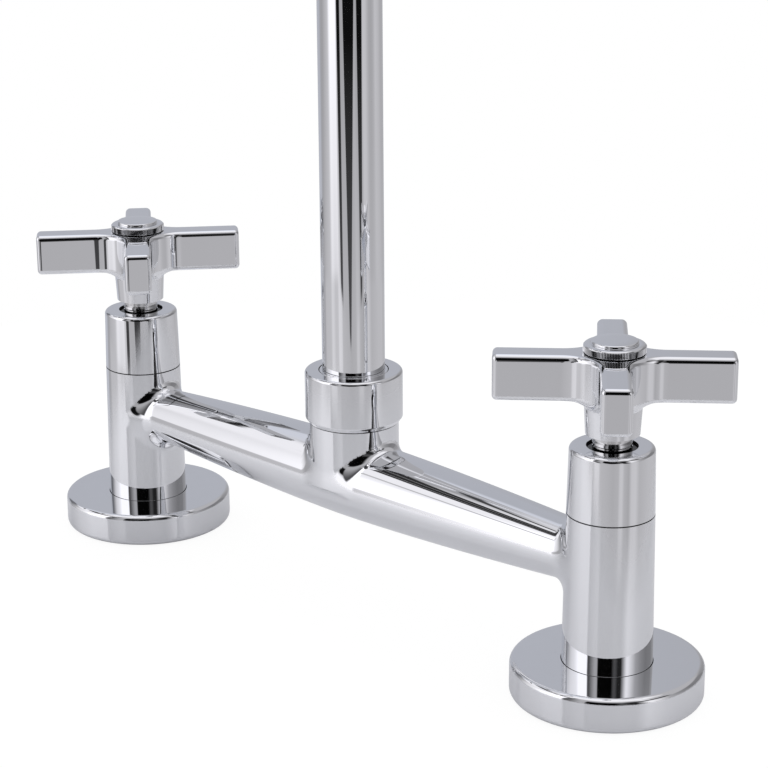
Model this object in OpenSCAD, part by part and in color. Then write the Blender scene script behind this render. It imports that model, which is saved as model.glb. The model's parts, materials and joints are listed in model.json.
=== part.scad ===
// Deck-mounted bridge mixer tap for a kitchen sink: two pillars on round base flanges, a bridge
// that joins them, a cross handle on each pillar and a swivelling swan-neck spout.
// Millimetres, +Z up. The origin is on the deck, half way between the two inlets.
// Hot is at -X, cold is at +X, and the front of the tap is -Y.

/* [Bridge] */
// Distance between the axes of the two inlets
inlet_centres = 200; // [170:1:260]
// Height of the bridge axis above the deck
bridge_z = 39.5; // [36:0.5:42]
// Radius of the bridge half way between the pillars
bridge_mid_r = 12.3; // [11.5:0.1:13]
// Radius of the bridge where it is thinnest, near the pillars
bridge_end_r = 8.8; // [7.5:0.1:10]
// Radius of the waterway drilled through the bridge
bridge_bore_r = 4.5; // [3:0.1:5]

/* [Pillars] */
// Radius of a pillar at its foot
pillar_foot_r = 12.9; // [12.5:0.1:14]
// Radius of a pillar at the seam under its valve sleeve
pillar_top_r = 12.3; // [11.8:0.1:12.8]
// Height of that seam above the deck
seam_z = 54.6; // [54:0.1:58]
// Height of the valve seat inside a pillar
seat_z = 30; // [28:0.1:30.4]

/* [Base flanges] */
// Outer radius of a base flange
flange_r = 27.5; // [24:0.5:32]
// Height of a base flange
flange_h = 10.4; // [8:0.1:14]
// Rounding of the flange's edges
flange_edge_r = 1.7; // [0.5:0.1:2.5]

/* [Inlet tails] */
// Outer radius of a threaded tail, G 1/2
tail_r = 10.48; // [9:0.01:10.9]
// Radius of the bore through a tail
tail_bore_r = 7; // [5:0.1:7.5]
// How far a tail reaches below the deck
tail_drop = 58; // [45:1:90]
// Deck thickness that the back nuts are set for
deck_t = 30; // [5:1:34]

/* [Valves] */
// Radius of the thread that holds a cartridge in its pillar, M18
cartridge_thread_r = 9; // [8.8:0.1:9.3]
// Radius of the cartridge's nose
cartridge_nose_r = 7.6; // [7.4:0.1:7.8]
// Size across the flats of the cartridge's hexagon
cartridge_hex_af = 17; // [15:0.5:17.5]
// Radius of a ceramic disc
disc_r = 6.4; // [6.2:0.1:6.5]
// Thickness of a ceramic disc
disc_t = 2.4; // [2:0.1:2.6]
// Radius of the spindle
spindle_r = 3.9; // [3.6:0.1:4]

/* [Valve sleeves] */
// Height of a valve sleeve
sleeve_h = 19.4; // [18.4:0.1:20]
// Outer radius of a valve sleeve at its top
sleeve_top_r = 11.9; // [11.6:0.1:12.3]
// Inner radius of a valve sleeve
sleeve_bore_r = 10.6; // [10.5:0.1:10.9]

/* [Handles] */
// Distance from a handle's axis to the tip of an arm
arm_reach = 33; // [26:0.5:42]
// Width of an arm
arm_w = 8.1; // [6:0.1:9]
// Height of an arm
arm_h = 12.2; // [11.4:0.1:16]
// Radius of the hollow corner between two arms
arm_corner_r = 8.5; // [7.8:0.1:9]
// Radius of the hub's skirt at its lower end
skirt_r = 7.55; // [7:0.05:8]
// Angle of the right handle's arms when the valve is closed
closed_angle = 40; // [0:1:89]

/* [Index buttons] */
// Radius of an index button's coin edge
button_r = 8.62; // [7.5:0.01:9]
// Height of an index button above its handle
button_h = 3.3; // [2.8:0.1:5]

/* [Spout collar] */
// Outer radius of the collar nut
collar_r = 14.85; // [14.6:0.05:17]
// Height of the collar nut
collar_h = 16; // [16:0.1:20]
// Height of the seam under the collar nut
collar_z = 58.4; // [56:0.1:64]
// Radius of the bridge's neck under the collar nut
neck_r = 13.6; // [13.4:0.1:14]

/* [Spout] */
// Outer radius of the spout tube
tube_r = 9.5; // [9:0.05:9.6]
// Wall of the spout tube
tube_wall = 1.25; // [0.8:0.05:2]
// Radius of the spout's swan-neck bend, at the tube's centre line
bend_r = 100; // [70:1:130]
// Height at which the spout starts to bend
bend_z = 232; // [190:1:300]
// Straight length of tube after the bend
outlet_drop = 16; // [10:1:60]

/* [Aerator] */
// Outer radius of the outlet nozzle and the aerator
nozzle_r = 12; // [11.9:0.05:14]
// Height of the aerator's visible rim
aerator_rim_h = 6; // [4:0.5:10]

/* [Hidden] */

$fn = 96;

// Clearances
fit_gap = 0.05;
loose_gap = 0.3;
overrun = 1;

// Places along a pillar
half_centres = inlet_centres / 2;
flange_web = 3;
flange_seat_gap = 0.05;
foot_z = flange_web;
tail_grip = 12;
tail_top_z = foot_z + tail_grip;
tail_seal_t = 1.8;
chamber_gap = 0.7;
chamber_r = cartridge_nose_r + chamber_gap;
inlet_way_r = 5.6;
thread_len = 8.6;
thread_z = seam_z - thread_len;

// Base flange and gasket
gasket_in_r = flange_r * 0.58;
gasket_w = 6;
gasket_t = 1.6;

// Tail fittings under the deck
tail_chamfer = 0.9;
connector_l = 12;
relief_w = 1;
relief_d = 0.6;
deck_washer_t = 2.5;
deck_washer_r = 22;
clamp_washer_t = 1.5;
clamp_washer_r = 20;
nut_af = 27;
nut_h = 8;
nut_flange_r = 17.5;
nut_flange_t = 2.2;

// Cartridge, from the seat up
seat_seal_t = 2.4;
seat_seal_bore_r = 4.2;
nose_lift = 1.1;
nose_z = seat_z + nose_lift;
cavity_r = disc_r + 0.15;
fixed_disc_z = seat_z + seat_seal_t;
disc_film = 0.02;
turning_disc_z = fixed_disc_z + disc_t + disc_film;
turning_disc_r = disc_r - 0.05;
disc_slot_w = 2.8;
disc_slot_d = 1;
disc_port_r = 1.75;
disc_port_at = 3.4;
spindle_foot_gap = 0.3;
spindle_foot_z = turning_disc_z + disc_t + spindle_foot_gap;
spindle_foot_t = 2.4;
spindle_foot_r = turning_disc_r - 0.4;
spindle_tab_w = disc_slot_w - 0.3;
cavity_top_z = spindle_foot_z + spindle_foot_t + fit_gap;
window_w = 6;
cartridge_collar_r = sleeve_bore_r - 0.2;
cartridge_collar_t = 2.4;
hex_h = 6;
hex_z = seam_z + cartridge_collar_t;
upper_neck_r = 7.05;
sleeve_top_z = seam_z + sleeve_h;
neck_recess = 0.7;
upper_neck_top_z = sleeve_top_z - neck_recess;
gland_r = 5.55;
gland_h = 3.8;
gland_top_z = upper_neck_top_z + gland_h;
gland_groove_d = 0.5;
gland_groove_h = 0.6;
gland_groove_pitch = 1.4;
o_ring_groove_d = 0.9;
o_ring_groove_h = 1.8;
spindle_ring_pitch = 4.4;

// Valve sleeve
sleeve_roof_t = 4;
sleeve_edge_r = 1.3;
sleeve_seal_t = 1.6;
sleeve_seal_r = 9.2;

// Handle
handle_z = gland_top_z + 0.4;
clip_t = 0.7;
clip_r = 5.2;
clip_groove_r = 3.3;
clip_room = 2;
clip_room_r = clip_r + 0.5;
skirt_h = 8.8;
skirt_top_r = skirt_r + 0.5;
arm_z = handle_z + skirt_h + 1.7;
arm_top_z = arm_z + arm_h;
crown_h = 0.3;
crown_top_z = arm_top_z + crown_h;
arm_edge_r = 1.2;
arm_fan = 6;
button_gap = 0.3;
button_z = crown_top_z + button_gap;
button_shank_r = 6.2;
button_shank_l = 3.6;
button_rim_h = button_h * 0.58;
button_face_r = button_r * 0.83;
button_edge_r = 0.3;
handle_well_d = 6.6;
handle_well_z = crown_top_z - handle_well_d;
handle_web_t = 2;
spindle_top_gap = 0.2;
spindle_top_z = handle_well_z - handle_web_t - spindle_top_gap;
spline_teeth = 20;
spline_depth = 0.4;
screw_r = 1.95;
screw_head_r = 3.5;
screw_head_h = 2.6;
screw_len = 12;
screw_slot_w = 0.8;
screw_slot_d = 1;

// Collar and spout foot
neck_thread_r = 12.4;
neck_thread_h = 9;
neck_top_z = collar_z + neck_thread_h;
spigot_r = 8.8;
spigot_l = 20;
spout_bore_r = spigot_r + 0.1;
spout_bore_z = neck_top_z - spigot_l;
spout_way_r = 6.4;
thrust_t = 1;
foot_flange_r = 11.6;
foot_flange_z = neck_top_z + thrust_t + fit_gap;
foot_flange_t = 2.2;
upper_thrust_z = foot_flange_z + foot_flange_t + fit_gap;
collar_lip_z = upper_thrust_z + thrust_t;
collar_top_z = collar_z + collar_h;
collar_hole_r = tube_r + 1.1;
foot_top_r = collar_hole_r - 0.1;
foot_top_z = collar_top_z - 0.1;
collar_chamfer_w = 1;
collar_chamfer_h = 1.4;
collar_edge_r = 1;
socket_d = 4.4;
socket_z = foot_top_z - socket_d;
spigot_groove_d = 1.3;
spigot_groove_h = 2.4;
spigot_ring_pitch = 7;

// Spout outlet
tube_end_z = bend_z - outlet_drop;
nozzle_socket_d = 4;
nozzle_body_h = 14;
nozzle_top_z = tube_end_z + nozzle_socket_d;
nozzle_z = nozzle_top_z - nozzle_body_h;
nozzle_edge_r = 1;
nozzle_thread_r = 10.9;
nozzle_thread_h = 8.6;
aerator_washer_t = 1.2;
aerator_thread_r = nozzle_thread_r - fit_gap;
aerator_bore_r = 9;
aerator_lip_r = 8;
aerator_lip_t = 1;
aerator_z = nozzle_z - aerator_rim_h;
aerator_top_z = nozzle_z + nozzle_thread_h - aerator_washer_t;
insert_h = 7;
screen_t = 0.6;
insert_hole_r = 0.8;
insert_rows = 3;

// Points on an arc round (x, y), from angle a to angle b in n steps
function arc(x, y, r, a, b, n = 6) =
    [for (i = [0 : n]) [x + r * cos(a + (b - a) * i / n), y + r * sin(a + (b - a) * i / n)]];

// A plain ring standing on height z
module ring(outer, inner, z, h) {
    translate([0, 0, z])
        difference() {
            cylinder(r = outer, h = h);
            translate([0, 0, -overrun])
                cylinder(r = inner, h = h + 2 * overrun);
        }
}

// A hexagon prism measured across its flats, standing on height z
module hex_prism(af, z, h) {
    translate([0, 0, z])
        cylinder(r = af / 2 / cos(30), h = h, $fn = 6);
}

// Places a piece on the hot or the cold pillar, the hot one as a mirror image
module on_hot() {
    translate([-half_centres, 0, 0])
        mirror([1, 0, 0])
            children();
}

module on_cold() {
    translate([half_centres, 0, 0])
        children();
}

// Bridge radius at a distance x from the middle: a shallow arc of a circle
bridge_span = half_centres - pillar_top_r;
bridge_sag = bridge_mid_r - bridge_end_r;
function bridge_r(x) = bridge_mid_r - bridge_sag * pow(x / bridge_span, 2);
bridge_steps = 18;

module bridge_spindle() {
    right = [for (i = [-bridge_steps : bridge_steps])
        let (x = bridge_span * i / bridge_steps) [bridge_r(x), x]];
    translate([0, 0, bridge_z])
        rotate([0, 90, 0])
            rotate_extrude()
                polygon(concat(
                    [[0, -half_centres], [bridge_end_r, -half_centres]],
                    right,
                    [[bridge_end_r, half_centres], [0, half_centres]]));
}

module pillar_solid() {
    rotate_extrude()
        polygon([[0, foot_z], [pillar_foot_r, foot_z], [pillar_foot_r, flange_h],
            [pillar_top_r, seam_z], [0, seam_z]]);
}

module pillar_bores() {
    translate([0, 0, foot_z - overrun])
        cylinder(r = tail_r + fit_gap, h = tail_grip + tail_seal_t + overrun);
    translate([0, 0, foot_z])
        cylinder(r = inlet_way_r, h = seat_z - foot_z + overrun);
    translate([0, 0, seat_z])
        cylinder(r = chamber_r, h = thread_z - seat_z + overrun);
    translate([0, 0, thread_z])
        cylinder(r = cartridge_thread_r + fit_gap, h = thread_len + overrun);
}

module bridge_body() {
    color("silver")
        difference() {
            union() {
                bridge_spindle();
                on_hot() pillar_solid();
                on_cold() pillar_solid();
                translate([0, 0, bridge_z])
                    cylinder(r = neck_r, h = collar_z - bridge_z);
                translate([0, 0, bridge_z])
                    cylinder(r = neck_thread_r, h = neck_top_z - bridge_z);
            }
            on_hot() pillar_bores();
            on_cold() pillar_bores();
            translate([-half_centres, 0, bridge_z])
                rotate([0, 90, 0])
                    cylinder(r = bridge_bore_r, h = inlet_centres);
            translate([0, 0, bridge_z])
                cylinder(r = spout_way_r, h = neck_top_z - bridge_z + overrun);
            translate([0, 0, spout_bore_z])
                cylinder(r = spout_bore_r, h = spigot_l + overrun);
        }
}

module base_flange() {
    color("silver")
        difference() {
            rotate_extrude()
                polygon(concat(
                    [[0, 0]],
                    arc(flange_r - flange_edge_r, flange_edge_r, flange_edge_r, -90, 0),
                    arc(flange_r - flange_edge_r, flange_h - flange_edge_r, flange_edge_r, 0, 90),
                    [[0, flange_h]]));
            translate([0, 0, flange_web])
                cylinder(r = pillar_foot_r + flange_seat_gap, h = flange_h);
            translate([0, 0, -overrun])
                cylinder(r = tail_r + loose_gap, h = flange_web + 2 * overrun);
            ring(gasket_in_r + gasket_w, gasket_in_r, -overrun, gasket_t + overrun);
        }
}

module base_gasket() {
    color("dimgray")
        ring(gasket_in_r + gasket_w, gasket_in_r, 0, gasket_t);
}

// The lower end of a tail takes the supply connector, and a shallow relief ends its thread
module inlet_tail() {
    relief_z = -tail_drop + connector_l;
    color("goldenrod")
        rotate_extrude()
            polygon([[tail_bore_r, -tail_drop], [tail_r - tail_chamfer, -tail_drop],
                [tail_r, -tail_drop + tail_chamfer], [tail_r, relief_z], [tail_r - relief_d, relief_z],
                [tail_r - relief_d, relief_z + relief_w], [tail_r, relief_z + relief_w],
                [tail_r, tail_top_z], [tail_bore_r, tail_top_z]]);
}

module tail_seal() {
    color("dimgray")
        ring(tail_r - fit_gap, tail_bore_r, tail_top_z, tail_seal_t);
}

module deck_washer() {
    color("dimgray")
        ring(deck_washer_r, tail_r + loose_gap, -deck_t - deck_washer_t, deck_washer_t);
}

module clamp_washer() {
    color("lightgray")
        ring(clamp_washer_r, tail_r + loose_gap, -deck_t - deck_washer_t - clamp_washer_t, clamp_washer_t);
}

module back_nut() {
    top_z = -deck_t - deck_washer_t - clamp_washer_t;
    color("goldenrod")
        difference() {
            union() {
                hex_prism(nut_af, top_z - nut_h, nut_h);
                translate([0, 0, top_z - nut_flange_t])
                    cylinder(r = nut_flange_r, h = nut_flange_t);
            }
            translate([0, 0, top_z - nut_h - overrun])
                cylinder(r = tail_r + fit_gap, h = nut_h + 2 * overrun);
        }
}

module cartridge_body() {
    color("goldenrod")
        difference() {
            union() {
                translate([0, 0, nose_z])
                    cylinder(r = cartridge_nose_r, h = seam_z - nose_z);
                translate([0, 0, thread_z])
                    cylinder(r = cartridge_thread_r, h = thread_len);
                translate([0, 0, seam_z])
                    cylinder(r = cartridge_collar_r, h = cartridge_collar_t);
                hex_prism(cartridge_hex_af, hex_z, hex_h);
                translate([0, 0, hex_z])
                    cylinder(r = upper_neck_r, h = upper_neck_top_z - hex_z);
                translate([0, 0, upper_neck_top_z])
                    cylinder(r = gland_r, h = gland_h);
            }
            translate([0, 0, nose_z - overrun])
                cylinder(r = cavity_r, h = cavity_top_z - nose_z + overrun);
            translate([0, 0, nose_z])
                cylinder(r = spindle_r + fit_gap, h = gland_top_z - nose_z + overrun);
            translate([-chamber_r, -window_w / 2, spindle_foot_z - spindle_foot_gap])
                cube([2 * chamber_r, window_w, cavity_top_z - spindle_foot_z + spindle_foot_gap]);
            for (i = [1, 2])
                ring(gland_r + overrun, gland_r - gland_groove_d,
                    upper_neck_top_z + i * gland_groove_pitch - gland_groove_h, gland_groove_h);
        }
}

module seat_seal() {
    color("dimgray")
        ring(disc_r, seat_seal_bore_r, seat_z, seat_seal_t);
}

// Two opposite ports through a disc, turned by an angle
module disc_ports(angle, z) {
    for (side = [0, 180])
        rotate([0, 0, angle + side])
            translate([disc_port_at, 0, z - overrun])
                cylinder(r = disc_port_r, h = disc_t + 2 * overrun);
}

module fixed_disc() {
    color("white")
        difference() {
            translate([0, 0, fixed_disc_z])
                cylinder(r = disc_r, h = disc_t);
            disc_ports(0, fixed_disc_z);
        }
}

module turning_disc() {
    color("white")
        difference() {
            translate([0, 0, turning_disc_z])
                cylinder(r = turning_disc_r, h = disc_t);
            disc_ports(90, turning_disc_z);
            translate([-disc_r, -disc_slot_w / 2, turning_disc_z + disc_t - disc_slot_d])
                cube([2 * disc_r, disc_slot_w, disc_slot_d + overrun]);
        }
}

// Outline of the splined end of the spindle
module spline_outline() {
    polygon([for (i = [0 : 2 * spline_teeth - 1])
        let (r = spindle_r - fit_gap - (i % 2) * spline_depth, a = 180 * i / spline_teeth)
            [r * cos(a), r * sin(a)]]);
}

module spindle() {
    spline_z = handle_z + clip_room;
    tab_reach = spindle_foot_r * 2;
    color("goldenrod")
        difference() {
            union() {
                translate([0, 0, spindle_foot_z])
                    cylinder(r = spindle_foot_r, h = spindle_foot_t);
                intersection() {
                    translate([-tab_reach / 2, -spindle_tab_w / 2, spindle_foot_z - spindle_foot_gap - disc_slot_d / 2])
                        cube([tab_reach, spindle_tab_w, spindle_foot_t]);
                    translate([0, 0, turning_disc_z])
                        cylinder(r = spindle_foot_r, h = disc_t + spindle_foot_gap + spindle_foot_t);
                }
                translate([0, 0, spindle_foot_z])
                    cylinder(r = spindle_r, h = spline_z - spindle_foot_z);
                translate([0, 0, spline_z])
                    linear_extrude(spindle_top_z - spline_z)
                        spline_outline();
            }
            for (i = [0, 1])
                ring(spindle_r + overrun, spindle_r - o_ring_groove_d, thread_z + i * spindle_ring_pitch, o_ring_groove_h);
            ring(spindle_r + overrun, clip_groove_r, gland_top_z + fit_gap, clip_t + fit_gap);
            translate([0, 0, spindle_top_z - screw_len])
                cylinder(r = screw_r + fit_gap, h = screw_len + overrun);
        }
}

module spindle_o_rings() {
    color("dimgray")
        for (i = [0, 1])
            ring(spindle_r + fit_gap / 2, spindle_r - o_ring_groove_d, thread_z + i * spindle_ring_pitch, o_ring_groove_h);
}

module spindle_clip() {
    color("lightgray")
        difference() {
            ring(clip_r, clip_groove_r, gland_top_z + fit_gap, clip_t);
            translate([0, -clip_groove_r / 2, gland_top_z])
                cube([clip_r + overrun, clip_groove_r, clip_t + overrun]);
        }
}

module valve_sleeve() {
    color("silver")
        difference() {
            rotate_extrude()
                polygon(concat(
                    [[0, seam_z], [pillar_top_r, seam_z]],
                    arc(sleeve_top_r - sleeve_edge_r, sleeve_top_z - sleeve_edge_r, sleeve_edge_r, 0, 90),
                    [[0, sleeve_top_z]]));
            translate([0, 0, seam_z - overrun])
                cylinder(r = sleeve_bore_r, h = sleeve_h - sleeve_roof_t + overrun);
            translate([0, 0, seam_z])
                cylinder(r = upper_neck_r + fit_gap, h = sleeve_h + overrun);
        }
}

module sleeve_seal() {
    color("dimgray")
        ring(sleeve_seal_r, upper_neck_r, sleeve_top_z - sleeve_roof_t - sleeve_seal_t, sleeve_seal_t);
}

// Plan of the handle: four arms with hollow corners between them
module handle_plan() {
    arm_len = arm_reach - arm_edge_r;
    root = arm_w / 2 + arm_corner_r;
    for (a = [0 : 90 : 270])
        rotate([0, 0, a]) {
            translate([0, -arm_w / 2])
                square([arm_len, arm_w]);
            translate([0, -arm_w / 2 + arm_edge_r])
                square([arm_reach, arm_w - 2 * arm_edge_r]);
            for (side = [-1, 1])
                translate([arm_len, side * (arm_w / 2 - arm_edge_r)])
                    circle(r = arm_edge_r);
        }
    difference() {
        square(2 * root, center = true);
        for (x = [-1, 1], y = [-1, 1])
            translate([x * root, y * root])
                circle(r = arm_corner_r);
    }
}

module cross_handle() {
    fan_r = skirt_top_r + arm_fan;
    fan_z = handle_z + skirt_h;
    color("silver")
        difference() {
            union() {
                rotate_extrude()
                    polygon([[0, handle_z], [skirt_r, handle_z], [skirt_top_r, fan_z],
                        [skirt_top_r, arm_top_z], [0, arm_top_z]]);
                translate([0, 0, arm_z])
                    linear_extrude(arm_h)
                        handle_plan();
                intersection() {
                    rotate_extrude()
                        polygon([[0, fan_z], [skirt_top_r, fan_z], [fan_r, arm_z],
                            [fan_r, arm_top_z], [button_r, crown_top_z], [0, crown_top_z]]);
                    translate([0, 0, handle_z])
                        linear_extrude(crown_top_z - handle_z)
                            handle_plan();
                }
            }
            translate([0, 0, handle_z - overrun])
                cylinder(r = clip_room_r, h = clip_room + overrun);
            translate([0, 0, handle_z])
                cylinder(r = spindle_r + fit_gap, h = handle_well_z - handle_web_t - handle_z);
            translate([0, 0, handle_z])
                cylinder(r = screw_r + fit_gap, h = crown_top_z - handle_z);
            translate([0, 0, handle_well_z])
                cylinder(r = button_shank_r + fit_gap, h = handle_well_d + overrun);
        }
}

module handle_screw() {
    color("lightgray")
        difference() {
            union() {
                translate([0, 0, handle_well_z])
                    cylinder(r = screw_head_r, h = screw_head_h);
                translate([0, 0, handle_well_z - screw_len])
                    cylinder(r = screw_r, h = screw_len + screw_head_h);
            }
            translate([-screw_head_r, -screw_slot_w / 2, handle_well_z + screw_head_h - screw_slot_d])
                cube([2 * screw_head_r, screw_slot_w, screw_slot_d + overrun]);
        }
}

module index_button() {
    top_z = button_z + button_h;
    rim_top_z = button_z + button_rim_h;
    face_z = top_z - 2 * button_edge_r;
    color("silver")
        rotate_extrude()
            polygon(concat(
                [[0, button_z - button_shank_l], [button_shank_r, button_z - button_shank_l],
                    [button_shank_r, button_z], [button_r, button_z], [button_r, rim_top_z],
                    [button_face_r, face_z]],
                arc(button_face_r - button_edge_r, top_z - button_edge_r, button_edge_r, 0, 90, 3),
                [[0, top_z]]));
}

module collar_nut() {
    color("silver")
        difference() {
            rotate_extrude()
                polygon(concat(
                    [[0, collar_z], [collar_r - collar_chamfer_w, collar_z],
                        [collar_r, collar_z + collar_chamfer_h]],
                    arc(collar_r - collar_edge_r, collar_top_z - collar_edge_r, collar_edge_r, 0, 90),
                    [[0, collar_top_z]]));
            translate([0, 0, collar_z - overrun])
                cylinder(r = neck_thread_r + fit_gap, h = collar_lip_z - collar_z + overrun);
            translate([0, 0, collar_z])
                cylinder(r = collar_hole_r, h = collar_h + overrun);
        }
}

module lower_thrust_washer() {
    color("white")
        ring(foot_flange_r, spout_bore_r, neck_top_z, thrust_t);
}

module upper_thrust_washer() {
    color("white")
        ring(neck_thread_r - loose_gap, collar_hole_r, upper_thrust_z, thrust_t);
}

module spout_foot() {
    color("silver")
        difference() {
            union() {
                translate([0, 0, spout_bore_z + loose_gap])
                    cylinder(r = spigot_r, h = foot_flange_z - spout_bore_z);
                translate([0, 0, foot_flange_z])
                    cylinder(r = foot_flange_r, h = foot_flange_t);
                translate([0, 0, foot_flange_z])
                    cylinder(r = foot_top_r, h = foot_top_z - foot_flange_z);
            }
            translate([0, 0, spout_bore_z - overrun])
                cylinder(r = spout_way_r, h = foot_top_z - spout_bore_z + 2 * overrun);
            translate([0, 0, socket_z])
                cylinder(r = tube_r, h = socket_d + overrun);
            for (i = [0, 1])
                ring(spigot_r + overrun, spigot_r - spigot_groove_d,
                    neck_top_z - (i + 1) * spigot_ring_pitch, spigot_groove_h);
        }
}

module spout_o_rings() {
    color("dimgray")
        for (i = [0, 1])
            ring(spigot_r + fit_gap, spigot_r - spigot_groove_d,
                neck_top_z - (i + 1) * spigot_ring_pitch, spigot_groove_h);
}

// Cross-section of the spout tube
module tube_section() {
    difference() {
        circle(r = tube_r);
        circle(r = tube_r - tube_wall);
    }
}

module spout_tube() {
    color("silver") {
        translate([0, 0, socket_z])
            linear_extrude(bend_z - socket_z)
                tube_section();
        translate([0, -bend_r, bend_z])
            rotate([90, 0, 90])
                rotate_extrude(angle = 180)
                    translate([bend_r, 0])
                        tube_section();
        translate([0, -2 * bend_r, tube_end_z])
            linear_extrude(bend_z - tube_end_z)
                tube_section();
    }
}

module at_outlet() {
    translate([0, -2 * bend_r, 0])
        children();
}

module outlet_nozzle() {
    color("silver")
        at_outlet()
            difference() {
                rotate_extrude()
                    polygon(concat(
                        [[0, nozzle_z], [nozzle_r, nozzle_z]],
                        arc(nozzle_r - nozzle_edge_r, nozzle_top_z - nozzle_edge_r, nozzle_edge_r, 0, 90),
                        [[0, nozzle_top_z]]));
                translate([0, 0, nozzle_z - overrun])
                    cylinder(r = nozzle_thread_r, h = nozzle_thread_h + overrun);
                translate([0, 0, nozzle_z])
                    cylinder(r = tube_r - tube_wall, h = nozzle_body_h + overrun);
                translate([0, 0, tube_end_z])
                    cylinder(r = tube_r, h = nozzle_socket_d + overrun);
            }
}

module aerator_washer() {
    color("dimgray")
        at_outlet()
            ring(aerator_thread_r, tube_r - tube_wall, aerator_top_z, aerator_washer_t);
}

module aerator_housing() {
    color("silver")
        at_outlet()
            difference() {
                union() {
                    translate([0, 0, aerator_z])
                        cylinder(r = nozzle_r, h = aerator_rim_h);
                    translate([0, 0, aerator_z])
                        cylinder(r = aerator_thread_r, h = aerator_top_z - aerator_z);
                }
                translate([0, 0, aerator_z - overrun])
                    cylinder(r = aerator_lip_r, h = aerator_lip_t + 2 * overrun);
                translate([0, 0, aerator_z + aerator_lip_t])
                    cylinder(r = aerator_bore_r, h = aerator_top_z - aerator_z);
            }
}

module aerator_screen() {
    color("lightgray")
        at_outlet()
            translate([0, 0, aerator_z + aerator_lip_t])
                cylinder(r = aerator_bore_r - fit_gap, h = screen_t);
}

module aerator_insert() {
    insert_z = aerator_z + aerator_lip_t + screen_t;
    pitch = aerator_bore_r / (insert_rows + 1);
    color("white")
        at_outlet()
            difference() {
                translate([0, 0, insert_z])
                    cylinder(r = aerator_bore_r - fit_gap, h = insert_h);
                for (row = [1 : insert_rows], i = [0 : 6 * row - 1])
                    rotate([0, 0, 60 * i / row])
                        translate([row * pitch, 0, insert_z - overrun])
                            cylinder(r = insert_hole_r, h = insert_h + 2 * overrun, $fn = 24);
            }
}

// Turns a handle's pieces to the angle at which the valve is closed
module at_rest() {
    rotate([0, 0, closed_angle])
        children();
}

module hot_base_flange() { on_hot() base_flange(); }
module cold_base_flange() { on_cold() base_flange(); }
module hot_base_gasket() { on_hot() base_gasket(); }
module cold_base_gasket() { on_cold() base_gasket(); }
module hot_inlet_tail() { on_hot() inlet_tail(); }
module cold_inlet_tail() { on_cold() inlet_tail(); }
module hot_tail_seal() { on_hot() tail_seal(); }
module cold_tail_seal() { on_cold() tail_seal(); }
module hot_deck_washer() { on_hot() deck_washer(); }
module cold_deck_washer() { on_cold() deck_washer(); }
module hot_clamp_washer() { on_hot() clamp_washer(); }
module cold_clamp_washer() { on_cold() clamp_washer(); }
module hot_back_nut() { on_hot() back_nut(); }
module cold_back_nut() { on_cold() back_nut(); }
module hot_cartridge_body() { on_hot() cartridge_body(); }
module cold_cartridge_body() { on_cold() cartridge_body(); }
module hot_seat_seal() { on_hot() seat_seal(); }
module cold_seat_seal() { on_cold() seat_seal(); }
module hot_fixed_disc() { on_hot() fixed_disc(); }
module cold_fixed_disc() { on_cold() fixed_disc(); }
module hot_turning_disc() { on_hot() turning_disc(); }
module cold_turning_disc() { on_cold() turning_disc(); }
module hot_spindle() { on_hot() spindle(); }
module cold_spindle() { on_cold() spindle(); }
module hot_spindle_o_rings() { on_hot() spindle_o_rings(); }
module cold_spindle_o_rings() { on_cold() spindle_o_rings(); }
module hot_spindle_clip() { on_hot() spindle_clip(); }
module cold_spindle_clip() { on_cold() spindle_clip(); }
module hot_valve_sleeve() { on_hot() valve_sleeve(); }
module cold_valve_sleeve() { on_cold() valve_sleeve(); }
module hot_sleeve_seal() { on_hot() sleeve_seal(); }
module cold_sleeve_seal() { on_cold() sleeve_seal(); }
module hot_cross_handle() { on_hot() at_rest() cross_handle(); }
module cold_cross_handle() { on_cold() at_rest() cross_handle(); }
module hot_handle_screw() { on_hot() at_rest() handle_screw(); }
module cold_handle_screw() { on_cold() at_rest() handle_screw(); }
module hot_index_button() { on_hot() index_button(); }
module cold_index_button() { on_cold() index_button(); }

bridge_body();
hot_base_flange();
cold_base_flange();
hot_base_gasket();
cold_base_gasket();
hot_inlet_tail();
cold_inlet_tail();
hot_tail_seal();
cold_tail_seal();
hot_deck_washer();
cold_deck_washer();
hot_clamp_washer();
cold_clamp_washer();
hot_back_nut();
cold_back_nut();
hot_cartridge_body();
cold_cartridge_body();
hot_seat_seal();
cold_seat_seal();
hot_fixed_disc();
cold_fixed_disc();
hot_turning_disc();
cold_turning_disc();
hot_spindle();
cold_spindle();
hot_spindle_o_rings();
cold_spindle_o_rings();
hot_spindle_clip();
cold_spindle_clip();
hot_valve_sleeve();
cold_valve_sleeve();
hot_sleeve_seal();
cold_sleeve_seal();
hot_cross_handle();
cold_cross_handle();
hot_handle_screw();
cold_handle_screw();
hot_index_button();
cold_index_button();
collar_nut();
lower_thrust_washer();
upper_thrust_washer();
spout_foot();
spout_o_rings();
spout_tube();
outlet_nozzle();
aerator_washer();
aerator_housing();
aerator_insert();
aerator_screen();
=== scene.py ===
"""Dresses the bridge mixer tap: chromed castings, coin-edged buttons, threads, and a studio."""

import json
import math

import bmesh
import bpy
import numpy as np
from bpy.props import FloatProperty, FloatVectorProperty, IntProperty, PointerProperty
from mathutils import Matrix, Vector

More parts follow.
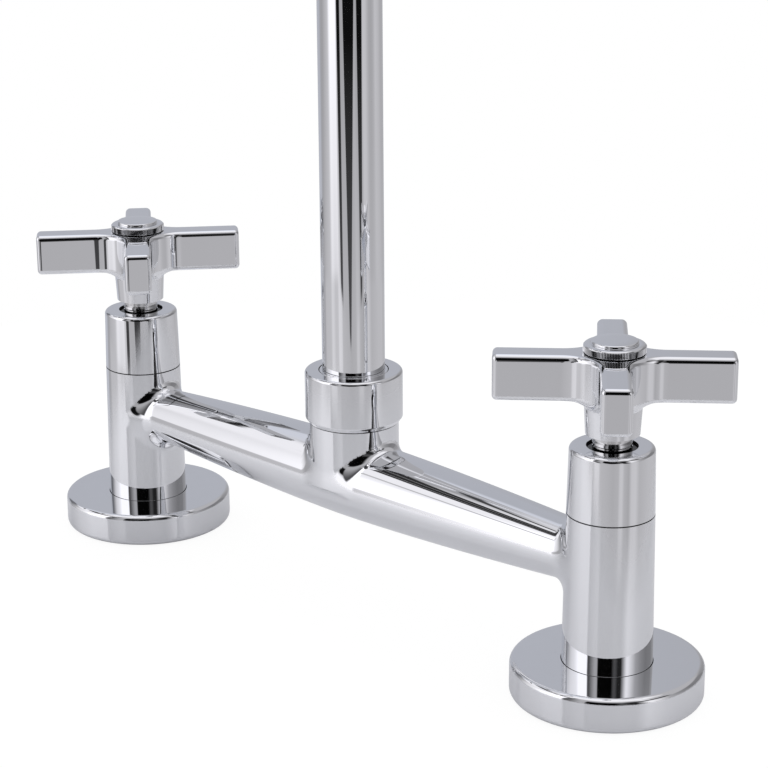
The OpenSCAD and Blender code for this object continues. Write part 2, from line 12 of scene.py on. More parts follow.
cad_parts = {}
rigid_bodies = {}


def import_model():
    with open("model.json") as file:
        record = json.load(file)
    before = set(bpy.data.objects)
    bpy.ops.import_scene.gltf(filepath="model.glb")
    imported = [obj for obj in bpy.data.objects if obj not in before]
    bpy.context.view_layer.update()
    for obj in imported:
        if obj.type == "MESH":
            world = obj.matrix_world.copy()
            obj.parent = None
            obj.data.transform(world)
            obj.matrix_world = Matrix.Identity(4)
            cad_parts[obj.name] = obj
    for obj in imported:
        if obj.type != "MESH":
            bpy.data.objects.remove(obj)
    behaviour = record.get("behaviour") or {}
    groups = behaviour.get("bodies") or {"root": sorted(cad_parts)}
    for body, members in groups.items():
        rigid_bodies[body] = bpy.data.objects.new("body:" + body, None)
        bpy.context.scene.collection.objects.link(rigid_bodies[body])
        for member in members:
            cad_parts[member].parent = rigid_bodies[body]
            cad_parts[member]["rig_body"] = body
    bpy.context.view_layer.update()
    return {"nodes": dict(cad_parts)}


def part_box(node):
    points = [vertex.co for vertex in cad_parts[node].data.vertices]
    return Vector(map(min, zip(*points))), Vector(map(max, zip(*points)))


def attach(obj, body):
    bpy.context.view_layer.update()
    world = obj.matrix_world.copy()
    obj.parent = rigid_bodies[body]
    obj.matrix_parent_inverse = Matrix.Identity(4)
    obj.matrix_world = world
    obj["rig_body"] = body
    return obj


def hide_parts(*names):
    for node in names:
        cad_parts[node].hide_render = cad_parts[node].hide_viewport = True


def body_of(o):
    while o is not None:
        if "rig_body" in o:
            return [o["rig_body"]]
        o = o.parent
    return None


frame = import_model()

bl_info = {
    "name": "Bridge mixer tap",
    "version": (1, 0, 0),
    "blender": (4, 5, 0),
    "location": "3D View > Sidebar > Mixer tap",
    "description": "Builds the visible pieces of a deck-mounted bridge mixer tap and its studio",
    "category": "Object",
}

MM = 0.001
SIDES = ("hot", "cold")

# Steps round a turning, a cutter, a rough shape, a bore and a thread, along an arc of a profile
# and along the swan neck
TURN_STEPS = 160
CUT_STEPS = 128
ROUGH_STEPS = 64
BORE_STEPS = 48
THREAD_STEPS = 96
ARC_STEPS = 8
BEND_STEPS = 120
WELD = 1e-7
SEAM_EDGE = 0.15 * MM
SMALL_EDGE = 0.2 * MM
SHARP_ANGLE = math.radians(32)


def length(name, millimetres, description):
    """A size that a user can change, kept in metres."""
    return FloatProperty(
        name=name, description=description, default=millimetres * MM, min=0.0,
        unit="LENGTH", subtype="DISTANCE", precision=5,
    )


def share(name, default, description):
    """A value from 0 to 1 that a user can change."""
    return FloatProperty(
        name=name, description=description, default=default, min=0.0, max=1.0, subtype="FACTOR"
    )


def colour(name, default, description):
    """A colour that a user can change."""
    return FloatVectorProperty(
        name=name, description=description, default=default, size=3, min=0.0, max=1.0,
        subtype="COLOR",
    )


def angle(name, degrees, description):
    """An angle that a user can change."""
    default = math.radians(degrees)
    return FloatProperty(name=name, description=description, default=default, subtype="ANGLE")


class BridgeSizes(bpy.types.PropertyGroup):
    """Sizes of the bridge casting."""

    axis_height: length("Axis height", 39.5, "Height of the bridge axis above the deck")
    mid_radius: length("Middle radius", 12.1, "Radius of the bridge at the neck")
    end_radius: length("End radius", 8.6, "Radius of the bridge where it meets a pillar")
    foot_radius: length("Pillar foot radius", 12.9, "Radius of a pillar at the top of its flange")
    top_radius: length("Pillar top radius", 12.3, "Radius of a pillar at its seam")
    neck_radius: length("Neck radius", 13.6, "Radius of the neck under the collar nut")
    low_blend: length("Lower blend", 4.2, "Rounding under the bridge where it meets a pillar")
    high_blend: length("Upper blend", 3.0, "Rounding on the bridge where it meets a pillar")
    neck_blend: length("Neck blend", 2.6, "Rounding where the neck meets the bridge")
    swell: FloatProperty(
        name="Swell", description="How the bridge narrows: 1 is a cone, 2 a full arc",
        default=1.6, min=1.0, max=3.0,
    )
    skin_step: length("Skin step", 0.75, "Size of the faces on the cast skin")


class HandleSizes(bpy.types.PropertyGroup):
    """Sizes of a cross handle."""

    arm_reach: length("Arm reach", 33.0, "Distance from the axis to the end of an arm")
    arm_width: length("Arm width", 8.5, "Width of an arm")
    corner_radius: length("Hollow corner", 10.2, "Radius of the hollow corner between two arms")
    edge_radius: length("Edge rounding", 1.6, "Rounding of the arms' long edges")
    end_radius: length("End rounding", 1.35, "Rounding round the end face of an arm")
    skirt_low_radius: length("Skirt radius", 7.55, "Radius of the skirt at its lower end")
    skirt_height: length("Skirt height", 8.8, "Height over which the skirt widens")
    arm_low: length("Underside height", 87.4, "Height of the arms' underside above the deck")
    arm_high: length("Top height", 100.55, "Height of the arms' top above the deck")
    flare_width: length("Flare width", 3.7, "How far the underside flares out from the skirt")
    flare_drop: length("Flare drop", 1.9, "How far the underside drops to the skirt")
    closed_angle: angle("Closed angle", 40.0, "Turn of the cold handle's arms when shut")
    skin_step: length("Skin step", 0.4, "Size of the faces on the cast skin")


class ButtonSizes(bpy.types.PropertyGroup):
    """Sizes of an index button's coin edge."""

    teeth: IntProperty(
        name="Teeth", description="Number of teeth round the coin edge", default=124, min=12
    )
    tooth_depth: length("Tooth depth", 0.36, "Depth of the coin edge")
    height: length("Height", 3.3, "Height of the button above its handle")


class SpoutSizes(bpy.types.PropertyGroup):
    """Sizes of the spout."""

    wall: length("Tube wall", 1.25, "Wall of the spout tube")
    bend_radius: length("Bend radius", 100.0, "Radius of the swan neck at the tube's centre line")
    nozzle_grip: length("Nozzle grip", 4.0, "How far the nozzle reaches over the tube's end")


class ThreadSizes(bpy.types.PropertyGroup):
    """Sizes of the threads on the inlet tails."""

    pitch: length("Pitch", 1.814, "Distance from one turn of the thread to the next")
    depth: length("Depth", 0.95, "Depth of the thread")


class TapFinishes(bpy.types.PropertyGroup):
    """Colours and gloss of the tap's finishes."""

    chrome: colour("Chrome", (0.865, 0.872, 0.89), "Colour of the chrome plating")
    chrome_roughness: share("Chrome roughness", 0.018, "Roughness of clean chrome")
    brass: colour("Brass", (0.80, 0.61, 0.34), "Colour of bare machined brass")
    nickel: colour("Nickel flash", (0.74, 0.74, 0.745), "Colour of the nickel-flashed cartridge")
    steel: colour("Steel", (0.62, 0.62, 0.61), "Colour of zinc-plated and stainless steel")
    rubber: colour("Rubber", (0.022, 0.022, 0.024), "Colour of the seals")
    ceramic: colour("Ceramic", (0.80, 0.79, 0.76), "Colour of the alumina discs")
    nylon: colour("Nylon", (0.74, 0.73, 0.68), "Colour of the thrust washers")
    acetal: colour("Acetal", (0.60, 0.61, 0.62), "Colour of the aerator insert")
    # Near-black colour of the painted shade in narrow gaps and grooves
    gap: colour("Shadowed gap", (0.012, 0.012, 0.013), "Colour of the narrow gaps")


class StudioSizes(bpy.types.PropertyGroup):
    """The table, the room's light and the camera."""

    table_radius: length("Table radius", 345.0, "Radius of the glossy table under the tap")
    table_tone: share("Table tone", 0.72, "Grey level of the table")
    shadow: share("Shadow", 0.1, "Depth of the object's shadow on the table")
    camera_place: FloatVectorProperty(
        name="Camera place", description="Where the camera stands",
        default=(0.46307, -0.45944, 0.27932), size=3, subtype="TRANSLATION",
    )
    camera_yaw: angle("Camera yaw", -44.421, "Turn of the camera from +Y towards +X")
    camera_pitch: angle("Camera pitch", 17.836, "How far the camera looks down")
    camera_roll: angle("Camera roll", -0.405, "Roll of the camera")
    camera_lens: FloatProperty(
        name="Camera lens", description="Focal length", default=105.9, subtype="DISTANCE_CAMERA"
    )


# Meshes


def arc(centre, radius, start, end, steps=ARC_STEPS):
    """Points of a profile on an arc, with its angles in degrees."""
    turns = [math.radians(start + (end - start) * i / steps) for i in range(steps + 1)]
    return [(centre[0] + radius * math.cos(a), centre[1] + radius * math.sin(a)) for a in turns]


def inner_edge(bore, top):
    """Points of the small rounding at the upper mouth of a bore."""
    return arc((bore + SMALL_EDGE, top - SMALL_EDGE), SMALL_EDGE, 90, 180, 4)


def in_metres(profile):
    """A profile written in millimetres, in metres."""
    return [(r * MM, z * MM) for r, z in profile]


def lift(bm, height, verts=None):
    """Lifts vertices, or a whole bmesh."""
    bmesh.ops.translate(bm, verts=verts or bm.verts, vec=(0.0, 0.0, height))


def turned(profile, place=(0.0, 0.0), steps=TURN_STEPS, closed=True):
    """Spins a profile of radius and height round a vertical axis at place."""
    bm = bmesh.new()
    points = [bm.verts.new((r, 0.0, z)) for r, z in profile]
    lines = [bm.edges.new(pair) for pair in zip(points, points[1:])]
    if closed:
        lines.append(bm.edges.new((points[-1], points[0])))
    bmesh.ops.spin(
        bm, geom=points + lines, cent=(0, 0, 0), axis=(0, 0, 1), angle=math.tau, steps=steps,
        use_merge=True,
    )
    bmesh.ops.remove_doubles(bm, verts=bm.verts, dist=WELD)
    bmesh.ops.recalc_face_normals(bm, faces=bm.faces)
    bmesh.ops.translate(bm, verts=bm.verts, vec=(*place, 0.0))
    return bm


def solid(profile, place=(0.0, 0.0), steps=CUT_STEPS):
    """Spins a profile that starts and ends on the axis."""
    return turned(profile, place, steps, closed=False)


def post(radius, low, high, place=(0.0, 0.0)):
    """A rough upright cylinder."""
    return solid([(0.0, low), (radius, low), (radius, high), (0.0, high)], place, ROUGH_STEPS)


def lying(profile, height, steps):
    """A solid that is turned round a level axis along X, at a height."""
    bm = solid(profile, steps=steps)
    quarter = Matrix.Rotation(math.radians(90), 3, "Y")
    bmesh.ops.rotate(bm, verts=bm.verts, cent=(0, 0, 0), matrix=quarter)
    lift(bm, height)
    return bm


def sink_rim(bm, place, least, depth_at):
    """Sinks the vertices beyond a radius by a depth that follows height and share of a turn."""
    for vert in bm.verts:
        arm = Vector((vert.co.x - place[0], vert.co.y - place[1]))
        if arm.length < least:
            continue
        depth = depth_at(vert.co.z, math.atan2(arm.y, arm.x) / math.tau)
        arm *= 1.0 - depth / arm.length
        vert.co.x, vert.co.y = place[0] + arm.x, place[1] + arm.y


def piece_from(name, bm):
    """Makes an object in the scene from a bmesh, smooth but for its sharp edges."""
    mesh = bpy.data.meshes.new(name)
    bm.to_mesh(mesh)
    bm.free()
    mesh.shade_smooth()
    mesh.set_sharp_from_angle(angle=SHARP_ANGLE)
    piece = bpy.data.objects.new(name, mesh)
    bpy.context.scene.collection.objects.link(piece)
    return piece


def dress(piece, node, finish="chrome"):
    """Gives a piece its finish and its body, and hides the CAD node that it stands for."""
    piece.data.materials.clear()
    piece.data.materials.append(finish_named(finish))
    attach(piece, body_of(frame["nodes"][node])[0])
    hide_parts(node)
    return piece


def paint_gap_shade(piece, bands):
    """Paints shade on faces in narrow gaps with the near-black gap finish: bands are axis, two
    radii, two heights.
    """
    piece.data.materials.append(finish_named("gap"))
    for place, inner, outer, low, high in bands:
        for face in piece.data.polygons:
            centre = face.center
            radius = math.hypot(centre.x - place[0], centre.y - place[1])
            if inner < radius < outer and low < centre.z < high:
                face.material_index = 1


def turning(name, profile, node, place=(0.0, 0.0), gap_shade_bands=()):
    """A lathe-turned chromed piece with even highlights."""
    piece = piece_from(name, turned(profile, place))
    even = piece.modifiers.new("Even highlights", "WEIGHTED_NORMAL")
    even.keep_sharp = True
    dress(piece, node)
    # Faces in these bands get the near-black gap finish, painted shade
    if gap_shade_bands:
        paint_gap_shade(piece, [(place, *gap) for gap in gap_shade_bands])
    return piece


def bake(piece):
    """Puts the result of a scratch piece's modifiers into its mesh."""
    evaluated = piece.evaluated_get(bpy.context.evaluated_depsgraph_get())
    result = bpy.data.meshes.new_from_object(evaluated)
    piece.modifiers.clear()
    old = piece.data
    piece.data = result
    result.name = old.name
    bpy.data.meshes.remove(old)


def joined(parts):
    """One bmesh that holds several closed shapes."""
    whole = bmesh.new()
    for part in parts:
        mesh = bpy.data.meshes.new("part")
        part.to_mesh(mesh)
        part.free()
        whole.from_mesh(mesh)
        bpy.data.meshes.remove(mesh)
    return whole


def carve(piece, cutter):
    """Cuts one closed shape out of another, and drops the cutter."""
    tool = piece_from("cutter", cutter)
    cut = piece.modifiers.new("Cut", "BOOLEAN")
    cut.operation = "DIFFERENCE"
    cut.solver = "MANIFOLD"
    cut.object = tool
    bake(piece)
    bpy.data.meshes.remove(tool.data)


def only(kind, geometry):
    """The vertices or the edges of a bmesh operator's result."""
    return [item for item in geometry if isinstance(item, kind)]


# Distance fields of the cast shapes


def fillet_union(a, b, radius):
    """Joins two distance fields with a rounded inner corner."""
    u = np.maximum(radius - a, 0.0)
    v = np.maximum(radius - b, 0.0)
    return np.maximum(radius, np.minimum(a, b)) - np.hypot(u, v)


def rounded_overlap(a, b, radius):
    """The overlap of two distance fields, with a rounded outer edge."""
    a, b = a + radius, b + radius
    corner = np.hypot(np.maximum(a, 0.0), np.maximum(b, 0.0))
    return np.minimum(np.maximum(a, b), 0.0) + corner - radius


def eased(value):
    """A smooth step from 0 to 1."""
    value = np.clip(value, 0.0, 1.0)
    return value * value * (3.0 - 2.0 * value)


def bridge_field(sizes, centre, seam, flange_top):
    """Distance field of the bridge casting's skin."""

    def field(p):
        x, y, z = np.abs(p[:, 0]), p[:, 1], p[:, 2]
        taper = (sizes.foot_radius - sizes.top_radius) / (seam - flange_top)
        pillar_radius = sizes.foot_radius - taper * np.maximum(z - flange_top, 0.0)
        pillar = np.hypot(x - centre, y) - pillar_radius
        span = centre - sizes.top_radius
        sag = sizes.mid_radius - sizes.end_radius
        along = np.minimum(x, centre)
        slope = sizes.swell * sag * (along / span) ** (sizes.swell - 1.0) / span
        arm_radius = sizes.mid_radius - sag * (along / span) ** sizes.swell
        arm = np.hypot(y, z - sizes.axis_height) - arm_radius
        arm = np.maximum(arm / np.sqrt(1.0 + slope**2), x - centre)
        neck = np.maximum(np.hypot(x, y) - sizes.neck_radius, sizes.axis_height - z)
        rise = eased((z - sizes.axis_height) / sizes.end_radius + 0.1)
        blend = sizes.low_blend + (sizes.high_blend - sizes.low_blend) * rise
        return fillet_union(fillet_union(arm, pillar, blend), neck, sizes.neck_blend)

    return field


def handle_field(sizes, low):
    """Distance field of a cross handle's skin, with its arms along X and Y."""
    widening = 0.5 * MM
    skirt_overlap = 2.0 * MM
    skirt_blend = 0.35 * MM

    def field(p):
        x, y, z = np.abs(p[:, 0]), np.abs(p[:, 1]), p[:, 2]
        rho = np.hypot(x, y)
        half = sizes.arm_width / 2.0
        plan = fillet_union(x - half, y - half, sizes.corner_radius)
        skirt_top = sizes.skirt_low_radius + widening
        out = np.clip((rho - skirt_top) / sizes.flare_width, 0.0, 1.0)
        under = sizes.arm_low - sizes.flare_drop * (1.0 - out) ** 2
        slab = np.maximum(z - sizes.arm_high, under - z)
        bars = rounded_overlap(plan, slab, sizes.edge_radius)
        arms = rounded_overlap(bars, np.maximum(x, y) - sizes.arm_reach, sizes.end_radius)
        widen = widening * np.clip((z - low) / sizes.skirt_height, -0.5, 1.0)
        skirt_side = rho - sizes.skirt_low_radius - widen
        skirt = np.maximum(skirt_side, z - sizes.arm_low - skirt_overlap)
        return fillet_union(arms, skirt, skirt_blend)

    return field


def slopes(field, points):
    """Unit gradients of a distance field."""
    step = 2e-6
    grads = np.empty_like(points)
    for axis in range(3):
        shift = np.zeros(3)
        shift[axis] = step
        grads[:, axis] = (field(points + shift) - field(points - shift)) / (2.0 * step)
    return grads / np.maximum(np.linalg.norm(grads, axis=1, keepdims=True), 1e-9)


def read_values(items, name, width=3, kind=float):
    """A value, or a row of values, for each point, corner or face of a mesh."""
    values = np.empty(len(items) * width, dtype=kind)
    items.foreach_get(name, values)
    return values.reshape(-1, width) if width > 1 else values


def settle(mesh, field, rounds=10):
    """Moves a mesh's vertices on to the zero surface of a distance field."""
    points = read_values(mesh.vertices, "co")
    for _ in range(rounds):
        points = points - slopes(field, points) * field(points)[:, None]
    mesh.vertices.foreach_set("co", points.ravel())
    mesh.update()


def grow_skin(name, rough, field, step):
    """Grows an even skin of faces on a distance field, from rough overlapping turnings."""
    shell = piece_from(name, rough)
    for _ in range(2):
        skin = shell.modifiers.new("Skin", "REMESH")
        skin.mode = "VOXEL"
        skin.voxel_size = step
        bake(shell)
        settle(shell.data, field)
    return shell


def polish(mesh, field):
    """Gives the skin its exact normals, and keeps the corner normals of faces that were cut."""
    off_skin = 3e-6
    least_match = 0.8
    mesh.shade_smooth()
    mesh.set_sharp_from_angle(angle=SHARP_ANGLE)
    points = read_values(mesh.vertices, "co")
    owner = read_values(mesh.loops, "vertex_index", 1, np.int32)
    corner = read_values(mesh.corner_normals, "vector")
    sides = read_values(mesh.polygons, "loop_total", 1, np.int32)
    face = np.repeat(read_values(mesh.polygons, "normal"), sides, axis=0)
    exact = slopes(field, points)[owner]
    on_skin = np.abs(field(points)) < off_skin
    fits = on_skin[owner] & (np.einsum("ij,ij->i", exact, face) > least_match)
    mesh.normals_split_custom_set(np.where(fits[:, None], exact, corner).tolist())


def turn_custom_normals(mesh, source, spin):
    """Writes the source's corner normals, turned, on to a turned copy."""
    corner = read_values(source.corner_normals, "vector")
    mesh.normals_split_custom_set((corner @ np.array(spin).T).tolist())


# Nodes of the finishes


def link_or_set(tree, socket, value):
    """Feeds a socket from another socket, or sets it."""
    if isinstance(value, bpy.types.NodeSocket):
        tree.links.new(value, socket)
    else:
        socket.default_value = value


def feed(tree, sockets, values):
    """Feeds or sets sockets by their labels."""
    for label, value in values.items():
        link_or_set(tree, sockets[label], value)


def calc(tree, operation, *values):
    """A Math node's result."""
    node = tree.nodes.new("ShaderNodeMath")
    node.operation = operation
    for socket, value in zip(node.inputs, values):
        link_or_set(tree, socket, value)
    return node.outputs[0]


def remap(tree, value, low, high, out_low=0.0, out_high=1.0, smooth=True):
    """A Map Range node's result."""
    node = tree.nodes.new("ShaderNodeMapRange")
    node.interpolation_type = "SMOOTHSTEP" if smooth else "LINEAR"
    for socket, source in zip(node.inputs, (value, low, high, out_low, out_high)):
        link_or_set(tree, socket, source)
    return node.outputs[0]


def noise(tree, place, scale, detail=3.0, rough=0.5):
    """A Noise Texture's value on Object coordinates."""
    node = tree.nodes.new("ShaderNodeTexNoise")
    values = {"Vector": place, "Scale": scale, "Detail": detail, "Roughness": rough}
    feed(tree, node.inputs, values)
    return node.outputs[0]


def object_place(tree, stretch=(1.0, 1.0, 1.0)):
    """Object coordinates, stretched where a finish has a direction."""
    place = tree.nodes.new("ShaderNodeTexCoord").outputs["Object"]
    if stretch == (1.0, 1.0, 1.0):
        return place
    mapping = tree.nodes.new("ShaderNodeMapping")
    mapping.inputs["Scale"].default_value = stretch
    tree.links.new(place, mapping.inputs["Vector"])
    return mapping.outputs[0]


def axes(tree, place):
    """The three parts of a place or a direction."""
    split = tree.nodes.new("ShaderNodeSeparateXYZ")
    tree.links.new(place, split.inputs[0])
    return split.outputs


def group(name, inputs, outputs):
    """A new shader node group with named inputs and outputs."""
    tree = bpy.data.node_groups.new(name, "ShaderNodeTree")
    kind = "NodeSocketFloat"
    for label, default in inputs:
        socket = tree.interface.new_socket(label, in_out="INPUT", socket_type=kind)
        socket.default_value = default
    for label in outputs:
        tree.interface.new_socket(label, in_out="OUTPUT", socket_type=kind)
    given = tree.nodes.new("NodeGroupInput").outputs
    wanted = tree.nodes.new("NodeGroupOutput").inputs
    return tree, given, wanted


def wiped_film():
    """Faint wiping marks and water haze: a roughness, and a mask of the marks."""
    inputs = (("Clean", 0.02), ("Hazy", 0.05))
    tree, given, wanted = group("Wiped film", inputs, ("Roughness", "Marks"))
    cloud = noise(tree, object_place(tree), 22.0, 4.0, 0.55)
    streak = noise(tree, object_place(tree, (260.0, 260.0, 22.0)), 1.0, 2.0)
    marks = remap(tree, calc(tree, "MULTIPLY_ADD", streak, 0.35, cloud), 0.55, 0.95)
    spread = calc(tree, "SUBTRACT", given["Hazy"], given["Clean"])
    rough = calc(tree, "MULTIPLY_ADD", marks, spread, given["Clean"])
    feed(tree, wanted, {"Roughness": rough, "Marks": marks})
    return tree


def fine_grain():
    """A fine even grain for bump and colour, as on moulded rubber and plated steel."""
    inputs = (("Scale", 900.0), ("Depth", 1.0))
    tree, given, wanted = group("Fine grain", inputs, ("Height", "Tone"))
    grain = noise(tree, object_place(tree), given["Scale"], 5.0)
    height = calc(tree, "MULTIPLY", grain, given["Depth"])
    feed(tree, wanted, {"Height": height, "Tone": remap(tree, grain, 0.3, 0.7)})
    return tree


def turning_marks():
    """Fine rings left by a lathe tool, along the height of a turned piece."""
    inputs = (("Pitch", 0.12), ("Depth", 1.0))
    tree, given, wanted = group("Turning marks", inputs, ("Height", "Tone"))
    place = object_place(tree)
    millimetres = calc(tree, "MULTIPLY", axes(tree, place)[2], 1000.0)
    rings = calc(tree, "DIVIDE", millimetres, given["Pitch"])
    wobble = noise(tree, place, 60.0, 2.0)
    phase = calc(tree, "MULTIPLY_ADD", wobble, 2.5, calc(tree, "MULTIPLY", rings, math.tau))
    wave = calc(tree, "SINE", phase)
    height = calc(tree, "MULTIPLY", wave, given["Depth"])
    tone = calc(tree, "MULTIPLY_ADD", wave, 0.2, noise(tree, place, 140.0, 4.0))
    feed(tree, wanted, {"Height": height, "Tone": remap(tree, tone, 0.2, 0.8)})
    return tree


def place_group(tree, source, **values):
    """Puts a node group into a material, with its values."""
    node = tree.nodes.new("ShaderNodeGroup")
    node.node_tree = source
    feed(tree, node.inputs, values)
    return node.outputs


def mix_colours(tree, below, above, factor, blend="MIX"):
    """A Mix node's result on two colours."""
    node = tree.nodes.new("ShaderNodeMix")
    node.data_type = "RGBA"
    node.blend_type = blend
    feed(tree, node.inputs, {"A": below, "B": above, "Factor": factor})
    return node.outputs["Result"]


def two_tones(tree, dark, light, factor):
    """A colour between two tones."""
    return mix_colours(tree, (*dark, 1.0), (*light, 1.0), factor)


def mix_shaders(tree, factor, below, above):
    """One shader where the factor is 0, another where it is 1."""
    node = tree.nodes.new("ShaderNodeMixShader")
    for socket, source in zip(node.inputs, (factor, below, above)):
        tree.links.new(source, socket)
    return node.outputs[0]


def bump(tree, shader, height, distance, strength=1.0):
    """Feeds a height into a shader's normal."""
    node = tree.nodes.new("ShaderNodeBump")
    feed(tree, node.inputs, {"Strength": strength, "Distance": distance, "Height": height})
    tree.links.new(node.outputs[0], shader.inputs["Normal"])


def new_finish(name, metallic=0.0):
    """An empty finish and its shader."""
    finish = bpy.data.materials.new(name)
    finish.use_nodes = True
    shader = finish.node_tree.nodes["Principled BSDF"]
    shader.inputs["Metallic"].default_value = metallic
    return finish, finish.node_tree, shader


def scaled(tone, factor):
    """A colour made darker or lighter."""
    return tuple(min(1.0, c * factor) for c in tone)


def make_chrome(name, looks, film):
    """Bright chrome plating with a thin wiped film."""
    finish, tree, shader = new_finish(name, 1.0)
    clean = looks.chrome_roughness
    out = place_group(tree, film, Clean=clean, Hazy=clean * 2.2)
    tone = two_tones(tree, scaled(looks.chrome, 0.985), looks.chrome, out["Marks"])
    feed(tree, shader.inputs, {"Base Color": tone, "Roughness": out["Roughness"]})
    return finish


def make_turned_metal(name, tone, marks, rough, depth, pitch, sunk):
    """Machined metal with tool marks and an uneven tone, and painted shade below a height where it
    is sunk.
    """
    finish, tree, shader = new_finish(name, 1.0)
    out = place_group(tree, marks, Pitch=pitch, Depth=1.0)
    shown = two_tones(tree, scaled(tone, 0.82), scaled(tone, 1.05), out["Tone"])
    # Below the sunk height the colour fades to near black: painted shade in the recess under the
    # cartridge's gland
    if sunk:
        height = axes(tree, object_place(tree))[2]
        lit = remap(tree, height, sunk, sunk + 0.5 * MM)
        lit = two_tones(tree, (0.02, 0.02, 0.02), tone, lit)
        shown = mix_colours(tree, shown, lit, 1.0, "DARKEN")
    gloss = remap(tree, out["Tone"], 0.0, 1.0, rough[1], rough[0], smooth=False)
    feed(tree, shader.inputs, {"Base Color": shown, "Roughness": gloss})
    bump(tree, shader, out["Height"], depth, 0.4)
    return finish


def make_moulded(name, tone, grain, rough, depth, scale, spread, metallic):
    """Moulded, plated or fired material with a fine grain."""
    finish, tree, shader = new_finish(name, metallic)
    out = place_group(tree, grain, Scale=scale, Depth=1.0)
    dark, light = scaled(tone, 1.0 - spread), scaled(tone, 1.0 + spread)
    shown = two_tones(tree, dark, light, out["Tone"])
    gloss = remap(tree, out["Tone"], 0.0, 1.0, *rough, smooth=False)
    feed(tree, shader.inputs, {"Base Color": shown, "Roughness": gloss})
    bump(tree, shader, out["Height"], depth, 0.5)
    return finish


def make_woven_steel(name, tone):
    """Woven wire mesh with open squares between the wires."""
    finish, tree, shader = new_finish(name, 1.0)
    pitch, wire_edge = 0.7 * MM, 0.8
    wires = []
    for along in axes(tree, object_place(tree))[:2]:
        wave = calc(tree, "SINE", calc(tree, "MULTIPLY", along, math.tau / pitch))
        wires.append(calc(tree, "ABSOLUTE", wave))
    cloth = calc(tree, "MAXIMUM", *wires)
    solid_wire = calc(tree, "GREATER_THAN", cloth, wire_edge)
    # The wires are painted darker towards their edges: painted shade of their round sides
    shown = two_tones(tree, scaled(tone, 0.5), tone, remap(tree, cloth, wire_edge, 1.0))
    feed(tree, shader.inputs, {"Base Color": shown, "Roughness": 0.32, "Alpha": solid_wire})
    bump(tree, shader, cloth, 0.15 * MM)
    return finish


FINISHES = {}


def finish_named(name):
    """A finish that was made before."""
    if name not in FINISHES:
        raise RuntimeError("the finishes are made first")
    return FINISHES[name]


def node_round(node):
    """Axis, outer radius, lowest and highest point of a round CAD node."""
    low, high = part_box(node)
    middle = (low + high) / 2.0
    return (middle.x, middle.y), (high.x - low.x) / 2.0, low.z, high.z


def both(kind):
    """Side, name, axis, radius, lowest and highest point of a round node on each side."""
    for side in SIDES:
        node = f"{side}_{kind}"
        yield side, node, *node_round(node)


class TapOperator(bpy.types.Operator):
    """Shared parts of the operators that build the tap."""

    bl_options = {"REGISTER", "UNDO"}


# Name, lowest and highest roughness, depth of the bump, pitch of the tool marks in millimetres,
# and the height under which shade is painted on the metal
TURNED_METALS = {
    "brass": ("Machined brass", (0.22, 0.38), 0.01 * MM, 0.16, None),
    "nickel": ("Nickel-flashed brass", (0.04, 0.1), 0.002 * MM, 0.2, 73.5 * MM),
}
# Name, lowest and highest roughness, depth of the bump, scale of the grain, how much its tone
# varies, and metallic
MOULDINGS = {
    "steel": ("Zinc-plated steel", (0.28, 0.42), 0.02 * MM, 700.0, 0.1, 1.0),
    "rubber": ("Black rubber", (0.55, 0.75), 0.04 * MM, 1800.0, 0.3, 0.0),
    "ceramic": ("Lapped ceramic", (0.12, 0.22), 0.004 * MM, 2600.0, 0.03, 0.0),
    "nylon": ("Moulded nylon", (0.38, 0.5), 0.02 * MM, 1200.0, 0.05, 0.0),
    "acetal": ("Moulded acetal", (0.35, 0.5), 0.02 * MM, 1200.0, 0.06, 0.0),
    # The gap finish is painted shade: a near-black matte on faces in narrow gaps and grooves
    "gap": ("Shadowed gap", (0.55, 0.7), 0.01 * MM, 1500.0, 0.3, 0.0),
}


class MakeFinishes(TapOperator):
    """Makes the chrome, brass, steel, rubber, ceramic and plastic finishes."""

    bl_idname = "mixer_tap.make_finishes"
    bl_label = "Make finishes"

    def execute(self, context):
        looks = context.scene.tap_finishes
        film, grain, marks = wiped_film(), fine_grain(), turning_marks()
        FINISHES["chrome"] = make_chrome("Bright chrome", looks, film)
        for key, (name, *values) in TURNED_METALS.items():
            FINISHES[key] = make_turned_metal(name, getattr(looks, key), marks, *values)
        for key, (name, *values) in MOULDINGS.items():
            FINISHES[key] = make_moulded(name, getattr(looks, key), grain, *values)
        FINISHES["mesh"] = make_woven_steel("Woven steel mesh", looks.steel)
        return {"FINISHED"}


# Profiles of the bores and of the spout's foot: radius and height in millimetres
PILLAR_BORE = (
    (0, -9), (16, -9), (16, 3), (10.53, 3), (10.53, 16.8), (5.6, 16.8), (5.6, 30), (8.3, 30),
    (8.3, 46), (9.05, 46), (9.05, 54.6),
)
WATERWAY = ((0, -99), (4.5, -99), (4.5, 99), (0, 99))
NECK_BORE = (
    (0, 39.5), (6.4, 39.5), (6.4, 47.4), (8.9, 47.4), (8.9, 67.4), (12.1, 67.4), (12.4, 67.1),
)
NECK_GROOVES = 5
NECK_PITCH = 1.5
NECK_GROOVE = ((12.4, 66.4), (11.6, 65.9), (12.4, 65.4))
HANDLE_BORE = (
    (5.7, 79.5), (3.95, 79.5), (3.95, 91.9), (2.0, 91.9), (2.0, 93.9), (6.25, 93.9),
    (6.25, 100.3), (6.5, 100.55), (6.5, 104), (0, 104),
)
SPOUT_FOOT = (
    (6.4, 47.7), (8.4, 47.7), (8.8, 48.1), (8.8, 53.4), (7.5, 53.4), (7.5, 55.8), (8.8, 55.8),
    (8.8, 60.4), (7.5, 60.4), (7.5, 62.8), (8.8, 62.8), (8.8, 68.45), (11.6, 68.45),
    (11.6, 70.65), (10.5, 70.65), (10.5, 74.15), (10.35, 74.3), (9.65, 74.3), (9.5, 74.15),
    (9.5, 69.9), (6.4, 69.9),
)


def trimming(edge, level, out, high):
    """The last points of a cutter that trims a piece at a level and bevels its outer edge."""
    return [(edge, level), (out, level - (out - edge)), (out, high), (0.0, high)]


